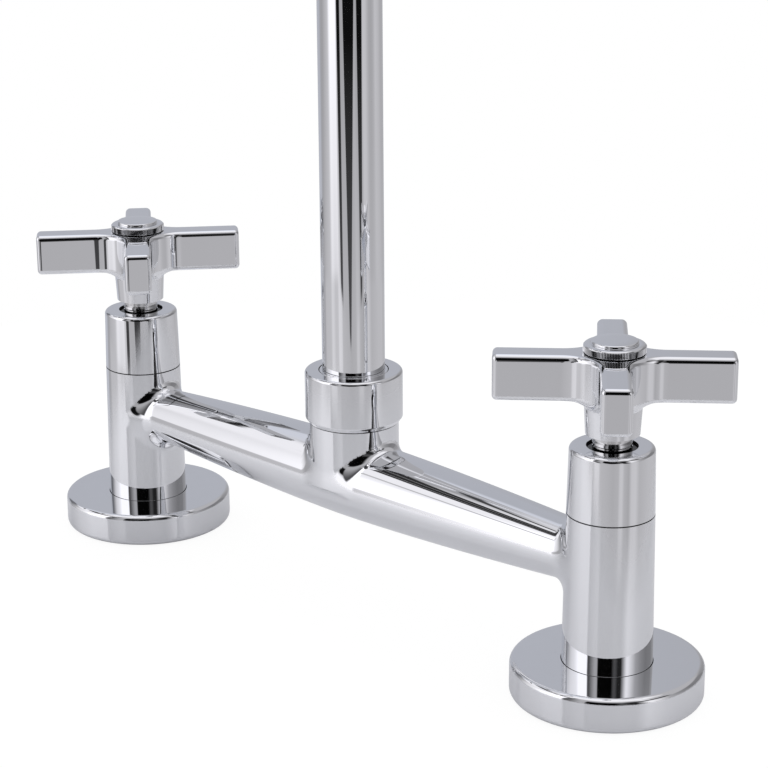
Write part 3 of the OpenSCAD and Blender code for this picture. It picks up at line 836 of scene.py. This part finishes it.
class AddBridgeCasting(TapOperator):
    """Adds the casting that joins both pillars, the bridge and the neck."""

    bl_idname = "mixer_tap.add_bridge_casting"
    bl_label = "Add bridge casting"

    def execute(self, context):
        sizes = context.scene.bridge_sizes
        (centre, _), _, seam, _ = node_round("cold_valve_sleeve")
        flange_top = node_round("cold_base_flange")[3]
        collar_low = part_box("collar_nut")[0].z
        foot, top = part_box("bridge_body")[0].z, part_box("bridge_body")[1].z
        field = bridge_field(sizes, centre, seam, flange_top)
        spare = 4.0 * MM
        pillars = ((-centre, 0.0), (centre, 0.0))

        def capped(p):
            ends = np.where(np.abs(p[:, 0]) > centre / 2.0, p[:, 2] - seam, p[:, 2] - top)
            return np.maximum(np.maximum(field(p), ends - spare), foot - spare - p[:, 2])

        rough = [post(sizes.foot_radius, foot - spare, seam + spare, at) for at in pillars]
        rough.append(post(sizes.neck_radius, sizes.axis_height, top + spare))
        sag = sizes.mid_radius - sizes.end_radius
        bar = [(sizes.mid_radius - sag * t * t, t * centre) for t in np.linspace(-1.0, 1.0, 25)]
        bar = [(0.0, -centre), *bar, (0.0, centre)]
        rough.append(lying(bar, sizes.axis_height, ROUGH_STEPS))
        casting = grow_skin("bridge_casting", joined(rough), capped, sizes.skin_step)

        pillar_out, neck_out = 16.0 * MM, 17.0 * MM
        pillar_edge, neck_edge = sizes.top_radius - SEAM_EDGE, sizes.neck_radius - SEAM_EDGE
        pillar_cut = in_metres(PILLAR_BORE)
        pillar_cut += trimming(pillar_edge, seam, pillar_out, seam + 2 * spare)
        for place in pillars:
            carve(casting, solid(pillar_cut, place))
        carve(casting, lying(in_metres(WATERWAY), sizes.axis_height, BORE_STEPS))
        neck_cut = list(NECK_BORE)
        for turn in range(NECK_GROOVES):
            neck_cut += [(r, z - NECK_PITCH * turn) for r, z in NECK_GROOVE]
        neck_cut = in_metres(neck_cut) + [(NECK_GROOVE[-1][0] * MM, collar_low)]
        neck_cut += trimming(neck_edge, collar_low, neck_out, top + 2 * spare)
        carve(casting, solid(neck_cut))
        polish(casting.data, field)
        dress(casting, "bridge_body")
        # Painted shade at the seams under the sleeves and under the collar nut: a thin band of
        # faces in the near-black gap finish
        under, over = 0.4 * MM, 0.1 * MM
        out = sizes.foot_radius
        gap_shade_bands = [(at, 9.5 * MM, out, seam - under, seam + over) for at in pillars]
        gap_shade_bands.append(((0.0, 0.0), 12.6 * MM, 20.0 * MM, collar_low - under, collar_low + over))
        paint_gap_shade(casting, gap_shade_bands)
        return {"FINISHED"}


class AddBaseFlanges(TapOperator):
    """Adds the round flange under each pillar."""

    bl_idname = "mixer_tap.add_base_flanges"
    bl_label = "Add base flanges"

    def execute(self, context):
        hole, seat, bore = 10.78 * MM, 3.0 * MM, 12.95 * MM
        groove_in, groove_out, groove_top = 15.95 * MM, 21.95 * MM, 1.6 * MM
        edge = 1.7 * MM
        for side, node, place, radius, _, top in both("base_flange"):
            profile = [(hole, 0.0), (groove_in, 0.0), (groove_in, groove_top)]
            profile += [(groove_out, groove_top), (groove_out, 0.0)]
            profile += arc((radius - edge, edge), edge, -90, 0)
            profile += arc((radius - edge, top - edge), edge, 0, 90)
            profile += inner_edge(bore, top) + [(bore, seat), (hole, seat)]
            # Painted shade down the wall of the flange's bore, round the pillar's foot
            gap_shade_bands = [(bore - 0.05 * MM, bore + 0.11 * MM, seat + 0.1 * MM, top - 0.02 * MM)]
            turning(side + "_flange_turning", profile, node, place, gap_shade_bands)
        return {"FINISHED"}


class AddValveSleeves(TapOperator):
    """Adds the sleeve over each valve."""

    bl_idname = "mixer_tap.add_valve_sleeves"
    bl_label = "Add valve sleeves"

    def execute(self, context):
        inside, ceiling, bore, head = 10.6 * MM, 70.0 * MM, 7.1 * MM, 11.9 * MM
        edge = 1.3 * MM
        for side, node, place, radius, low, top in both("valve_sleeve"):
            profile = [(inside, low), (radius - SEAM_EDGE, low), (radius, low + SEAM_EDGE)]
            profile += arc((head - edge, top - edge), edge, 0, 90)
            profile += inner_edge(bore, top) + [(bore, ceiling), (inside, ceiling)]
            # Painted shade at the sleeve's lower seam and down the wall of its bore
            gap_shade_bands = [
                (10.0 * MM, 13.0 * MM, low - 0.01 * MM, low + 0.14 * MM),
                (bore - 0.1 * MM, bore + 0.1 * MM, ceiling + 0.1 * MM, top),
            ]
            turning(side + "_sleeve_turning", profile, node, place, gap_shade_bands)
        return {"FINISHED"}


class AddCrossHandles(TapOperator):
    """Adds the four-armed handle on each valve."""

    bl_idname = "mixer_tap.add_cross_handles"
    bl_label = "Add cross handles"

    def execute(self, context):
        sizes = context.scene.handle_sizes
        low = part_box("cold_cross_handle")[0].z
        arm_low, arm_high = sizes.arm_low, sizes.arm_high
        skirt, hub = sizes.skirt_low_radius, 8.6 * MM
        field = handle_field(sizes, low)
        spare = 2.0 * MM
        long, wide = 2.0 * sizes.arm_reach, sizes.arm_width
        rough = []
        for across, deep in ((long, wide), (wide, long)):
            bar = bmesh.new()
            bmesh.ops.create_cube(bar, size=1.0)
            bmesh.ops.scale(bar, verts=bar.verts, vec=(across, deep, arm_high - arm_low))
            lift(bar, (arm_low + arm_high) / 2.0)
            rough.append(bar)
        core = [(0.0, low - spare), (skirt, low - spare), (hub, arm_low), (hub, arm_high)]
        rough.append(solid([*core, (0.0, arm_high)], steps=ROUGH_STEPS))

        def capped(p):
            return np.maximum(field(p), low - spare - p[:, 2])

        casting = grow_skin("handle_casting", joined(rough), capped, sizes.skin_step)
        mouth, out, bevel = skirt - 0.25 * MM, 12.0 * MM, 0.3
        under = low - 3 * spare
        cut = [(0.0, under), (out, under), (out, low + (out - mouth) * bevel), (mouth, low)]
        cut += [(HANDLE_BORE[0][0] * MM, low), *in_metres(HANDLE_BORE)]
        carve(casting, solid(cut))
        polish(casting.data, field)
        for side, node, place, *_ in both("cross_handle"):
            turn = sizes.closed_angle * (1.0 if side == "cold" else -1.0)
            spot = Matrix.Translation((*place, 0.0)) @ Matrix.Rotation(turn, 4, "Z")
            handle = casting.copy()
            handle.data = casting.data.copy()
            handle.name = handle.data.name = side + "_handle_casting"
            context.scene.collection.objects.link(handle)
            handle.data.transform(spot)
            turn_custom_normals(handle.data, casting.data, spot.to_3x3())
            dress(handle, node)
        bpy.data.meshes.remove(casting.data)
        return {"FINISHED"}


# Depth of the coin edge over one tooth, as shares of the full depth
TOOTH = (0.0, 0.35, 1.0, 0.35)


class AddIndexButtons(TapOperator):
    """Adds the coin-edged button on each handle."""

    bl_idname = "mixer_tap.add_index_buttons"
    bl_label = "Add index buttons"

    def execute(self, context):
        sizes = context.scene.button_sizes
        points = sizes.teeth * len(TOOTH)
        shank, shank_edge, coin_edge, coin_share = 6.2 * MM, 0.2 * MM, 0.15 * MM, 0.58

        def coin(_, turn):
            return sizes.tooth_depth * TOOTH[round(turn * points) % len(TOOTH)]

        for side, node, place, radius, low, top in both("index_button"):
            rim = top - sizes.height
            rim_top = rim + sizes.height * coin_share
            face = radius * 0.75
            profile = [(0.0, low), (shank - shank_edge, low), (shank, low + shank_edge)]
            profile += [(shank, rim), (radius - 0.25 * MM, rim)]
            profile += [(radius, rim + coin_edge), (radius, rim_top - coin_edge)]
            profile += arc((radius - 0.9 * MM, rim_top - 0.45 * MM), 0.85 * MM, 24, 62, 6)
            # A fine groove round the face, and the face's domed edge
            for across, up in ((0.28, 0.52), (0.12, 0.46), (0.03, 0.5)):
                profile.append((face + across * MM, rim_top + up * MM))
            profile += arc((face - 0.45 * MM, top - 0.55 * MM), 0.5 * MM, 0, 78, 6)
            profile += [(0.5 * face, top - 0.015 * MM), (0.0, top)]
            bm = solid(profile, place, points)
            sink_rim(bm, place, radius - 0.05 * MM, coin)
            piece = piece_from(side + "_button_turning", bm)
            dress(piece, node)
            # Painted shade under the coin, on the shank, and in the tooth grooves of the coin edge
            sunk, groove = radius - sizes.tooth_depth, radius - 0.6 * sizes.tooth_depth
            gap_shade_bands = [(place, 0.0, radius - 0.3 * MM, low, rim + 0.02 * MM)]
            gap_shade_bands.append((place, sunk, groove, rim + 0.1 * MM, rim_top - 0.16 * MM))
            paint_gap_shade(piece, gap_shade_bands)
        return {"FINISHED"}


class AddCollarNut(TapOperator):
    """Adds the collar nut that holds the spout."""

    bl_idname = "mixer_tap.add_collar_nut"
    bl_label = "Add collar nut"

    def execute(self, context):
        place, radius, low, top = node_round("collar_nut")
        thread, ceiling, bore = 12.45 * MM, 71.7 * MM, 10.6 * MM
        edge, waist = 1.0 * MM, 0.8 * MM
        profile = [(thread, low), (radius - edge - SEAM_EDGE, low)]
        profile.append((radius - 0.9 * MM, low + 0.1 * MM))
        profile += arc((radius - waist, low + 2 * waist), waist, -28, 0, 5)
        profile += arc((radius - edge, top - edge), edge, 0, 90)
        profile += inner_edge(bore, top) + [(bore, ceiling), (thread, ceiling)]
        # Painted shade at the nut's lower seam and down the wall of its bore
        gap_shade_bands = [
            (12.5 * MM, 13.8 * MM, low - 0.01 * MM, low + 0.05 * MM),
            (bore - 0.1 * MM, bore + 0.06 * MM, ceiling + 0.1 * MM, top - 0.02 * MM),
        ]
        turning("collar_turning", profile, "collar_nut", place, gap_shade_bands)
        return {"FINISHED"}


class AddSpout(TapOperator):
    """Adds the spout's foot, its swan-neck tube and the outlet nozzle."""

    bl_idname = "mixer_tap.add_spout"
    bl_label = "Add spout"

    def execute(self, context):
        sizes = context.scene.spout_sizes
        foot = in_metres(SPOUT_FOOT)
        turning("spout_foot_turning", foot, "spout_foot")

        low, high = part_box("spout_tube")
        radius = (high.x - low.x) / 2.0
        bend = sizes.bend_radius
        bend_z = high.z - bend - radius
        tube_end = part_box("outlet_nozzle")[1].z - sizes.nozzle_grip
        point, line = bmesh.types.BMVert, bmesh.types.BMEdge
        bm = bmesh.new()
        starts, ends = [], []
        for ring_radius in (radius, radius - sizes.wall):
            made = bmesh.ops.create_circle(bm, segments=TURN_STEPS, radius=ring_radius)["verts"]
            lift(bm, low.z, made)
            ring = list(dict.fromkeys(e for v in made for e in v.link_edges))
            starts += ring
            up = bmesh.ops.extrude_edge_only(bm, edges=ring)["geom"]
            lift(bm, bend_z - low.z, only(point, up))
            last = bmesh.ops.spin(
                bm, geom=only(point, up) + only(line, up), cent=(0.0, -bend, bend_z),
                axis=(1, 0, 0), angle=math.pi, steps=BEND_STEPS,
            )["geom_last"]
            down = bmesh.ops.extrude_edge_only(bm, edges=only(line, last))["geom"]
            lift(bm, tube_end - bend_z, only(point, down))
            ends += only(line, down)
        bmesh.ops.bridge_loops(bm, edges=starts)
        bmesh.ops.bridge_loops(bm, edges=ends)
        bmesh.ops.remove_doubles(bm, verts=bm.verts, dist=WELD)
        bmesh.ops.recalc_face_normals(bm, faces=bm.faces)
        dress(piece_from("swan_neck_tube", bm), "spout_tube")

        place, outer, _, top = node_round("outlet_nozzle")
        inside, bottom, edge = 10.9 * MM, 206.0 * MM, 1.0 * MM
        profile = [(inside, bottom), (outer - SEAM_EDGE, bottom), (outer, bottom + SEAM_EDGE)]
        profile += arc((outer - edge, top - edge), edge, 0, 90)
        profile += in_metres([(9.65, 220), (9.5, 219.85), (9.5, 216), (8.25, 216), (8.25, 214.6)])
        profile.append((inside, 214.6 * MM))
        turning("outlet_nozzle_turning", profile, "outlet_nozzle", place)
        return {"FINISHED"}


class AddAerator(TapOperator):
    """Adds the aerator's housing."""

    bl_idname = "mixer_tap.add_aerator"
    bl_label = "Add aerator"

    def execute(self, context):
        node = "aerator_housing"
        place, outer, low, _ = node_round(node)
        mouth, mouth_edge, edge = 8.0 * MM, 0.2 * MM, 0.6 * MM
        profile = [(mouth, low + mouth_edge), (mouth + mouth_edge, low)]
        profile += arc((outer - edge, low + edge), edge, -90, 0)
        profile += in_metres([(12, 205.85), (11.85, 206), (10.85, 206), (10.85, 213.1)])
        profile += in_metres([(10.55, 213.4), (9, 213.4), (9, 201), (8, 201)])
        turning("aerator_housing_turning", profile, node, place)
        return {"FINISHED"}


class AddInletTails(TapOperator):
    """Adds the threaded tail under each pillar."""

    bl_idname = "mixer_tap.add_inlet_tails"
    bl_label = "Add inlet tails"

    def execute(self, context):
        sizes = context.scene.thread_sizes
        bore, start, rows_a_turn = 7.0 * MM, 0.9 * MM, 8.0
        flank, crest = 2.6, 0.15
        relief_low, relief_high, relief_depth = -47.0 * MM, -44.8 * MM, 0.65

        def thread(z, turn):
            if relief_low < z < relief_high:
                return sizes.depth * relief_depth
            phase = (z / sizes.pitch - turn) % 1.0
            return sizes.depth * min(1.0, max(0.0, flank * abs(phase - 0.5) - crest))

        for side, node, place, radius, low, high in both("inlet_tail"):
            first = low + start
            rows = round((high - first) / (sizes.pitch / rows_a_turn))
            profile = [(bore, low), (radius - start, low)]
            profile += [(radius, first + (high - first) * i / rows) for i in range(rows + 1)]
            bm = turned([*profile, (bore, high)], place, THREAD_STEPS)
            sink_rim(bm, place, radius - 0.01 * MM, thread)
            dress(piece_from(side + "_tail_thread", bm), node, "brass")
        return {"FINISHED"}


# The CAD nodes that stay, by finish: those on both sides, then those that there is one of
KEPT_NODES = {
    "brass": ("back_nut", "spindle"),
    "nickel": ("cartridge_body",),
    "steel": ("clamp_washer", "handle_screw", "spindle_clip"),
    "rubber": (
        "base_gasket", "tail_seal", "deck_washer", "seat_seal", "spindle_o_rings", "sleeve_seal",
    ),
    "ceramic": ("fixed_disc", "turning_disc"),
}
KEPT_SINGLES = {
    "nylon": ("lower_thrust_washer", "upper_thrust_washer"),
    "rubber": ("spout_o_rings", "aerator_washer"),
    "acetal": ("aerator_insert",),
    "mesh": ("aerator_screen",),
}


class FinishInnerNodes(TapOperator):
    """Gives the inner pieces, whose CAD shape stays, their finishes."""

    bl_idname = "mixer_tap.finish_inner_nodes"
    bl_label = "Finish inner nodes"

    def execute(self, context):
        named = [
            (finish, f"{side}_{node}")
            for finish, nodes in KEPT_NODES.items() for node in nodes for side in SIDES
        ]
        named += [(finish, node) for finish, nodes in KEPT_SINGLES.items() for node in nodes]
        for finish, node in named:
            for slot in frame["nodes"][node].material_slots:
                slot.material = finish_named(finish)
        return {"FINISHED"}


# The room that the chrome shows. Azimuth is in degrees from the tap's front (-Y) towards +X, and
# height in degrees above the horizon. Light level of the walls, by azimuth:
WALL_LEVELS = (
    (-180, 0.30), (-165, 0.34), (-150, 0.44), (-140, 0.50), (-90, 0.50), (-82, 0.32),
    (-76, 0.38), (-68, 0.66), (-60, 0.84), (-52, 0.95), (-46, 1.1), (-40, 1.3), (-13, 1.3),
    (-10.5, 0.07), (-6, 0.1), (-1, 0.215), (8, 0.44), (14, 0.44), (16, 0.002), (50, 0.001),
    (56, 0.08), (60, 0.08), (66, 0.018), (74, 0.018), (80, 0.36), (88, 0.95), (92, 0.99),
    (102, 0.75), (115, 0.42), (130, 0.30), (150, 0.22), (168, 0.24),
)
# The same below the horizon
LOW_LEVELS = (
    (-180, 0.45), (-140, 0.45), (-110, 0.52), (-92, 0.50), (-82, 0.40), (-68, 0.39),
    (-60, 0.46), (-50, 0.54), (-41, 0.62), (-36, 0.9), (-32, 1.15), (-8, 1.15), (-4, 0.55),
    (4, 0.40), (16, 0.42), (45, 0.46), (56, 0.50), (64, 0.40), (72, 0.40), (86, 0.50),
    (91, 0.62), (100, 0.60), (108, 0.50), (115, 0.43), (124, 0.42), (132, 0.46), (144, 0.60),
    (160, 0.55), (178, 0.45),
)
# The same on the pale floor, far under the tap
PALE_LEVELS = (
    (-180, 0.50), (-110, 0.56), (-92, 0.60), (-85, 0.42), (-75, 0.42), (-68, 0.56),
    (-42, 0.58), (-34, 0.74), (-27, 0.70), (-20, 0.60), (-10, 0.62), (-6, 0.78), (4, 0.74),
    (9, 0.54), (30, 0.50), (42, 0.47), (56, 0.50), (60, 0.62), (66, 0.64), (72, 0.50),
    (84, 0.44), (92, 0.62), (104, 0.64), (116, 0.50), (150, 0.56),
)
# Dark stands below the horizon: azimuth and half width at the top, the same at the foot, and
# the height of the foot
STANDS = (
    (39.3, 20.7, 36.0, 2.2, -17.0),
    (2.0, 6.2, 7.0, 4.0, -16.4),
    (77.5, 10.5, 77.0, 2.6, -16.4),
)
# Patches on the walls, each over the ones before: light level, then from, to and soft border in
# azimuth, the same in height, and how much the patch leans with azimuth
PATCHES = (
    # The left wall: a doorway, the softbox's upper half with a seam and a streak, and a rail
    (0.18, (-97.0, -82.0, 3.0), (4.0, 29.0, 2.0), 0.0),
    (0.98, (-84.0, -40.0, 4.0), (26.0, 44.0, 4.0), 0.0),
    (0.52, (-56.0, -32.0, 3.0), (31.6, 33.8, 0.8), 0.0),
    (0.02, (-86.0, -71.0, 1.0), (37.2, 39.8, 0.4), 0.46),
    (0.72, (-114.0, -82.0, 5.0), (40.6, 58.0, 1.0), 0.0),
    # The camera side and the wall behind get lighter higher up
    (0.5, (-4.0, 84.0, 4.0), (39.0, 120.0, 9.0), 0.0),
    (0.5, (109.0, 400.0, 9.0), (29.0, 120.0, 4.0), 0.0),
    (0.5, (-400.0, -149.0, 7.0), (29.0, 120.0, 4.0), 0.0),
    # A dark panel high on the right, which the tap's pieces show to each other
    (0.06, (62.0, 124.0, 4.0), (30.0, 44.0, 2.0), 0.0),
    # A dark gap between the big softbox and the ceiling, with thin bright lines in it
    (0.03, (-80.0, -8.0, 2.5), (43.6, 51.8, 0.4), 0.0),
    (0.35, (-80.0, -8.0, 2.5), (45.6, 46.0, 0.15), 0.0),
    (0.3, (-80.0, -8.0, 2.5), (49.0, 49.4, 0.15), 0.0),
    (0.06, (-92.0, -8.0, 3.0), (55.0, 56.4, 0.3), 0.0),
)
# Azimuth at which a leaning patch has the heights that its row gives
LEAN_FROM = -78.0
# The ceiling's two steps: height where each starts and where it is full, and its light level
CEILING = ((56.6, 58.5, 0.75), (61.0, 66.0, 1.0))
TOP_LEVEL = 1.3
WALL_TINT = (0.955, 0.98, 1.08)
ROOM_TINT = (1.0, 0.988, 1.022)


def level_ramp(tree, azimuth, levels):
    """Light level by azimuth."""
    node = tree.nodes.new("ShaderNodeValToRGB")
    turn = calc(tree, "DIVIDE", calc(tree, "ADD", azimuth, 180.0), 360.0)
    link_or_set(tree, node.inputs[0], turn)
    stops = node.color_ramp.elements
    for index, (degrees, level) in enumerate(levels):
        place = (degrees + 180.0) / 360.0
        stop = stops[index] if index < 2 else stops.new(place)
        stop.position = place
        shown = level / TOP_LEVEL
        stop.color = (shown, shown, shown, 1.0)
    return calc(tree, "MULTIPLY", node.outputs[0], TOP_LEVEL)


def band(tree, value, low, high, soft):
    """A mask that is 1 between two angles, with soft borders."""
    rise = remap(tree, value, low - soft, low + soft)
    fall = remap(tree, value, high - soft, high + soft, 1.0, 0.0)
    return calc(tree, "MULTIPLY", rise, fall)


def blend_level(tree, factor, below, above):
    """A level between two others."""
    node = tree.nodes.new("ShaderNodeMix")
    for index, value in ((0, factor), (2, below), (3, above)):
        link_or_set(tree, node.inputs[index], value)
    return node.outputs[0]


def low_level(tree, azimuth, height, pale):
    """Light level below the horizon: a dim floor that fades to pale, with the stands before it."""
    fade = remap(tree, height, -9.5, -16.5, smooth=False)
    floor = level_ramp(tree, azimuth, LOW_LEVELS)
    floor = blend_level(tree, calc(tree, "MULTIPLY", fade, 0.8), floor, pale)
    shade = calc(tree, "MULTIPLY_ADD", fade, 0.075, 0.005)
    for top_at, top_half, foot_at, foot_half, foot in STANDS:
        down = remap(tree, height, -8.0, foot, smooth=False)
        middle = calc(tree, "MULTIPLY_ADD", down, foot_at - top_at, top_at)
        half = calc(tree, "MULTIPLY_ADD", down, foot_half - top_half, top_half)
        off = calc(tree, "ABSOLUTE", calc(tree, "SUBTRACT", azimuth, middle))
        away = calc(tree, "SUBTRACT", off, half)
        above_foot = remap(tree, height, foot - 0.3, foot + 0.3)
        dark = calc(tree, "MULTIPLY", remap(tree, away, 1.2, -1.2), above_foot)
        floor = blend_level(tree, dark, floor, shade)
    return floor


def build_room(world):
    """Lights the room: softboxes, stands, dark gaps, ceiling and pale floor, seen in the chrome."""
    tree = world.node_tree
    tree.nodes.clear()
    x, y, z = axes(tree, tree.nodes.new("ShaderNodeTexCoord").outputs["Generated"])
    degrees = 180.0 / math.pi
    turn = calc(tree, "ARCTAN2", x, calc(tree, "MULTIPLY", y, -1.0))
    azimuth = calc(tree, "MULTIPLY", turn, degrees)
    height = calc(tree, "MULTIPLY", calc(tree, "ARCSINE", z), degrees)

    wall = level_ramp(tree, azimuth, WALL_LEVELS)
    pale = level_ramp(tree, azimuth, PALE_LEVELS)
    low = low_level(tree, azimuth, height, pale)
    level = blend_level(tree, remap(tree, height, -4.0, -1.0), low, wall)
    for light, wide, tall, lean in PATCHES:
        along = height
        if lean:
            off = calc(tree, "ADD", azimuth, -LEAN_FROM)
            along = calc(tree, "MULTIPLY_ADD", off, lean, height)
        patch = calc(tree, "MULTIPLY", band(tree, azimuth, *wide), band(tree, along, *tall))
        level = blend_level(tree, patch, level, light)
    for start, full, light in CEILING:
        level = blend_level(tree, remap(tree, height, start, full), level, light)
    # Low down everything is the pale floor of the room, which reaches lowest under the camera
    camera_side, rise, lowest, highest = 42.0, 0.04, -17.1, -15.2
    off = calc(tree, "ABSOLUTE", calc(tree, "SUBTRACT", azimuth, camera_side))
    edge = calc(tree, "MINIMUM", calc(tree, "MULTIPLY_ADD", off, rise, lowest), highest)
    under = remap(tree, calc(tree, "SUBTRACT", height, edge), 0.2, -0.3)
    level = blend_level(tree, under, level, pale)

    cool = band(tree, azimuth, -150.0, -84.0, 12.0)
    seen = tree.nodes.new("ShaderNodeBackground")
    shown = tree.nodes.new("ShaderNodeVectorMath")
    shown.operation = "SCALE"
    tree.links.new(two_tones(tree, ROOM_TINT, WALL_TINT, cool), shown.inputs[0])
    tree.links.new(level, shown.inputs["Scale"])
    tree.links.new(shown.outputs[0], seen.inputs[0])
    plain = tree.nodes.new("ShaderNodeBackground")
    plain.inputs[0].default_value = (1.0, 1.0, 1.0, 1.0)
    rays = tree.nodes.new("ShaderNodeLightPath").outputs
    chosen = mix_shaders(tree, rays["Is Glossy Ray"], plain.outputs[0], seen.outputs[0])
    tree.links.new(chosen, tree.nodes.new("ShaderNodeOutputWorld").inputs[0])


def make_table_finish(tone, shadow):
    """White glossy table: white to the camera but for the object's shadow, grey in the chrome."""
    finish, tree, shader = new_finish("Glossy table")
    melt_start, melt_end, glow_level = 0.17, 0.27, 1.02
    base = (tone * 0.985, tone * 0.985, min(1.0, tone * 1.03), 1.0)
    wave = noise(tree, object_place(tree), 40.0)
    rough = remap(tree, wave, 0.3, 0.7, 0.06, 0.09, smooth=False)
    feed(tree, shader.inputs, {"Base Color": base, "Roughness": rough})
    matt = tree.nodes.new("ShaderNodeBsdfDiffuse")
    matt.inputs[0].default_value = (shadow, shadow, shadow, 1.0)
    glow = tree.nodes.new("ShaderNodeEmission")
    glow.inputs[1].default_value = glow_level - shadow
    white = tree.nodes.new("ShaderNodeAddShader")
    tree.links.new(matt.outputs[0], white.inputs[0])
    tree.links.new(glow.outputs[0], white.inputs[1])
    rays = tree.nodes.new("ShaderNodeLightPath").outputs
    chosen = mix_shaders(tree, rays["Is Camera Ray"], shader.outputs[0], white.outputs[0])
    # In the chrome the table's edge melts into the room's pale floor
    x, y, _ = axes(tree, object_place(tree))
    squares = calc(tree, "ADD", calc(tree, "MULTIPLY", x, x), calc(tree, "MULTIPLY", y, y))
    far = remap(tree, calc(tree, "SQRT", squares), melt_start, melt_end)
    melt = calc(tree, "MULTIPLY", far, rays["Is Glossy Ray"])
    clear = tree.nodes.new("ShaderNodeBsdfTransparent").outputs[0]
    melted = mix_shaders(tree, melt, chosen, clear)
    tree.links.new(melted, tree.nodes["Material Output"].inputs[0])
    return finish


class AddStudio(TapOperator):
    """Adds the table, the room's light and the camera."""

    bl_idname = "mixer_tap.add_studio"
    bl_label = "Add studio"

    def execute(self, context):
        scene = context.scene
        sizes = scene.studio_sizes
        radius = sizes.table_radius
        rim, drop, under = 3.0 * MM, 0.3 * MM, -20.0 * MM
        profile = [(0.0, -drop), *arc((radius - rim, -rim - drop), rim, 90, 0, 4)]
        profile += [(radius, under), (0.0, under)]
        table = piece_from("table", solid(profile, steps=TURN_STEPS))
        table.data.materials.append(make_table_finish(sizes.table_tone, sizes.shadow))

        world = bpy.data.worlds.new("Studio room")
        world.use_nodes = True
        build_room(world)
        scene.world = world

        yaw, pitch, roll = sizes.camera_yaw, sizes.camera_pitch, sizes.camera_roll
        ahead = math.cos(pitch)
        forward = Vector((math.sin(yaw) * ahead, math.cos(yaw) * ahead, -math.sin(pitch)))
        right = Vector((math.cos(yaw), -math.sin(yaw), 0.0))
        up = right.cross(forward)
        level_right = math.cos(roll) * right + math.sin(roll) * up
        level_up = -math.sin(roll) * right + math.cos(roll) * up
        lens = bpy.data.cameras.new("Photo camera")
        lens.lens = sizes.camera_lens
        lens.sensor_width = 36.0
        lens.clip_start, lens.clip_end = 0.01, 20.0
        camera = bpy.data.objects.new("Photo camera", lens)
        turn = Matrix((level_right, level_up, -forward)).transposed()
        camera.matrix_world = Matrix.Translation(Vector(sizes.camera_place)) @ turn.to_4x4()
        scene.collection.objects.link(camera)
        scene.camera = camera
        scene.view_settings.view_transform = "Standard"
        return {"FINISHED"}


OPERATORS = (
    MakeFinishes,
    AddBridgeCasting,
    AddBaseFlanges,
    AddValveSleeves,
    AddCrossHandles,
    AddIndexButtons,
    AddCollarNut,
    AddSpout,
    AddAerator,
    AddInletTails,
    FinishInnerNodes,
    AddStudio,
)
SIZE_GROUPS = {
    "bridge_sizes": BridgeSizes,
    "handle_sizes": HandleSizes,
    "button_sizes": ButtonSizes,
    "spout_sizes": SpoutSizes,
    "thread_sizes": ThreadSizes,
    "tap_finishes": TapFinishes,
    "studio_sizes": StudioSizes,
}


class TapPanel(bpy.types.Panel):
    """Lists the steps that build the mixer tap and its studio."""

    bl_idname = "VIEW3D_PT_mixer_tap"
    bl_label = "Mixer tap"
    bl_space_type = "VIEW_3D"
    bl_region_type = "UI"
    bl_category = "Mixer tap"

    def draw(self, context):
        for name, kind in SIZE_GROUPS.items():
            box = self.layout.box()
            box.label(text=kind.__doc__)
            for prop in kind.__annotations__:
                box.prop(getattr(context.scene, name), prop)
        for step in OPERATORS:
            self.layout.operator(step.bl_idname)


def register():
    """Registers the sizes, the operators and the panel."""
    for name, kind in SIZE_GROUPS.items():
        bpy.utils.register_class(kind)
        setattr(bpy.types.Scene, name, PointerProperty(type=kind))
    for kind in (*OPERATORS, TapPanel):
        bpy.utils.register_class(kind)


def unregister():
    """Takes the panel, the operators and the sizes away again."""
    for kind in reversed((*OPERATORS, TapPanel)):
        bpy.utils.unregister_class(kind)
    for name, kind in SIZE_GROUPS.items():
        delattr(bpy.types.Scene, name)
        bpy.utils.unregister_class(kind)


def main():
    """Builds the tap and its studio."""
    register()
    for step in OPERATORS:
        area, name = step.bl_idname.split(".")
        getattr(getattr(bpy.ops, area), name)()


if __name__ == "__main__":
    main()
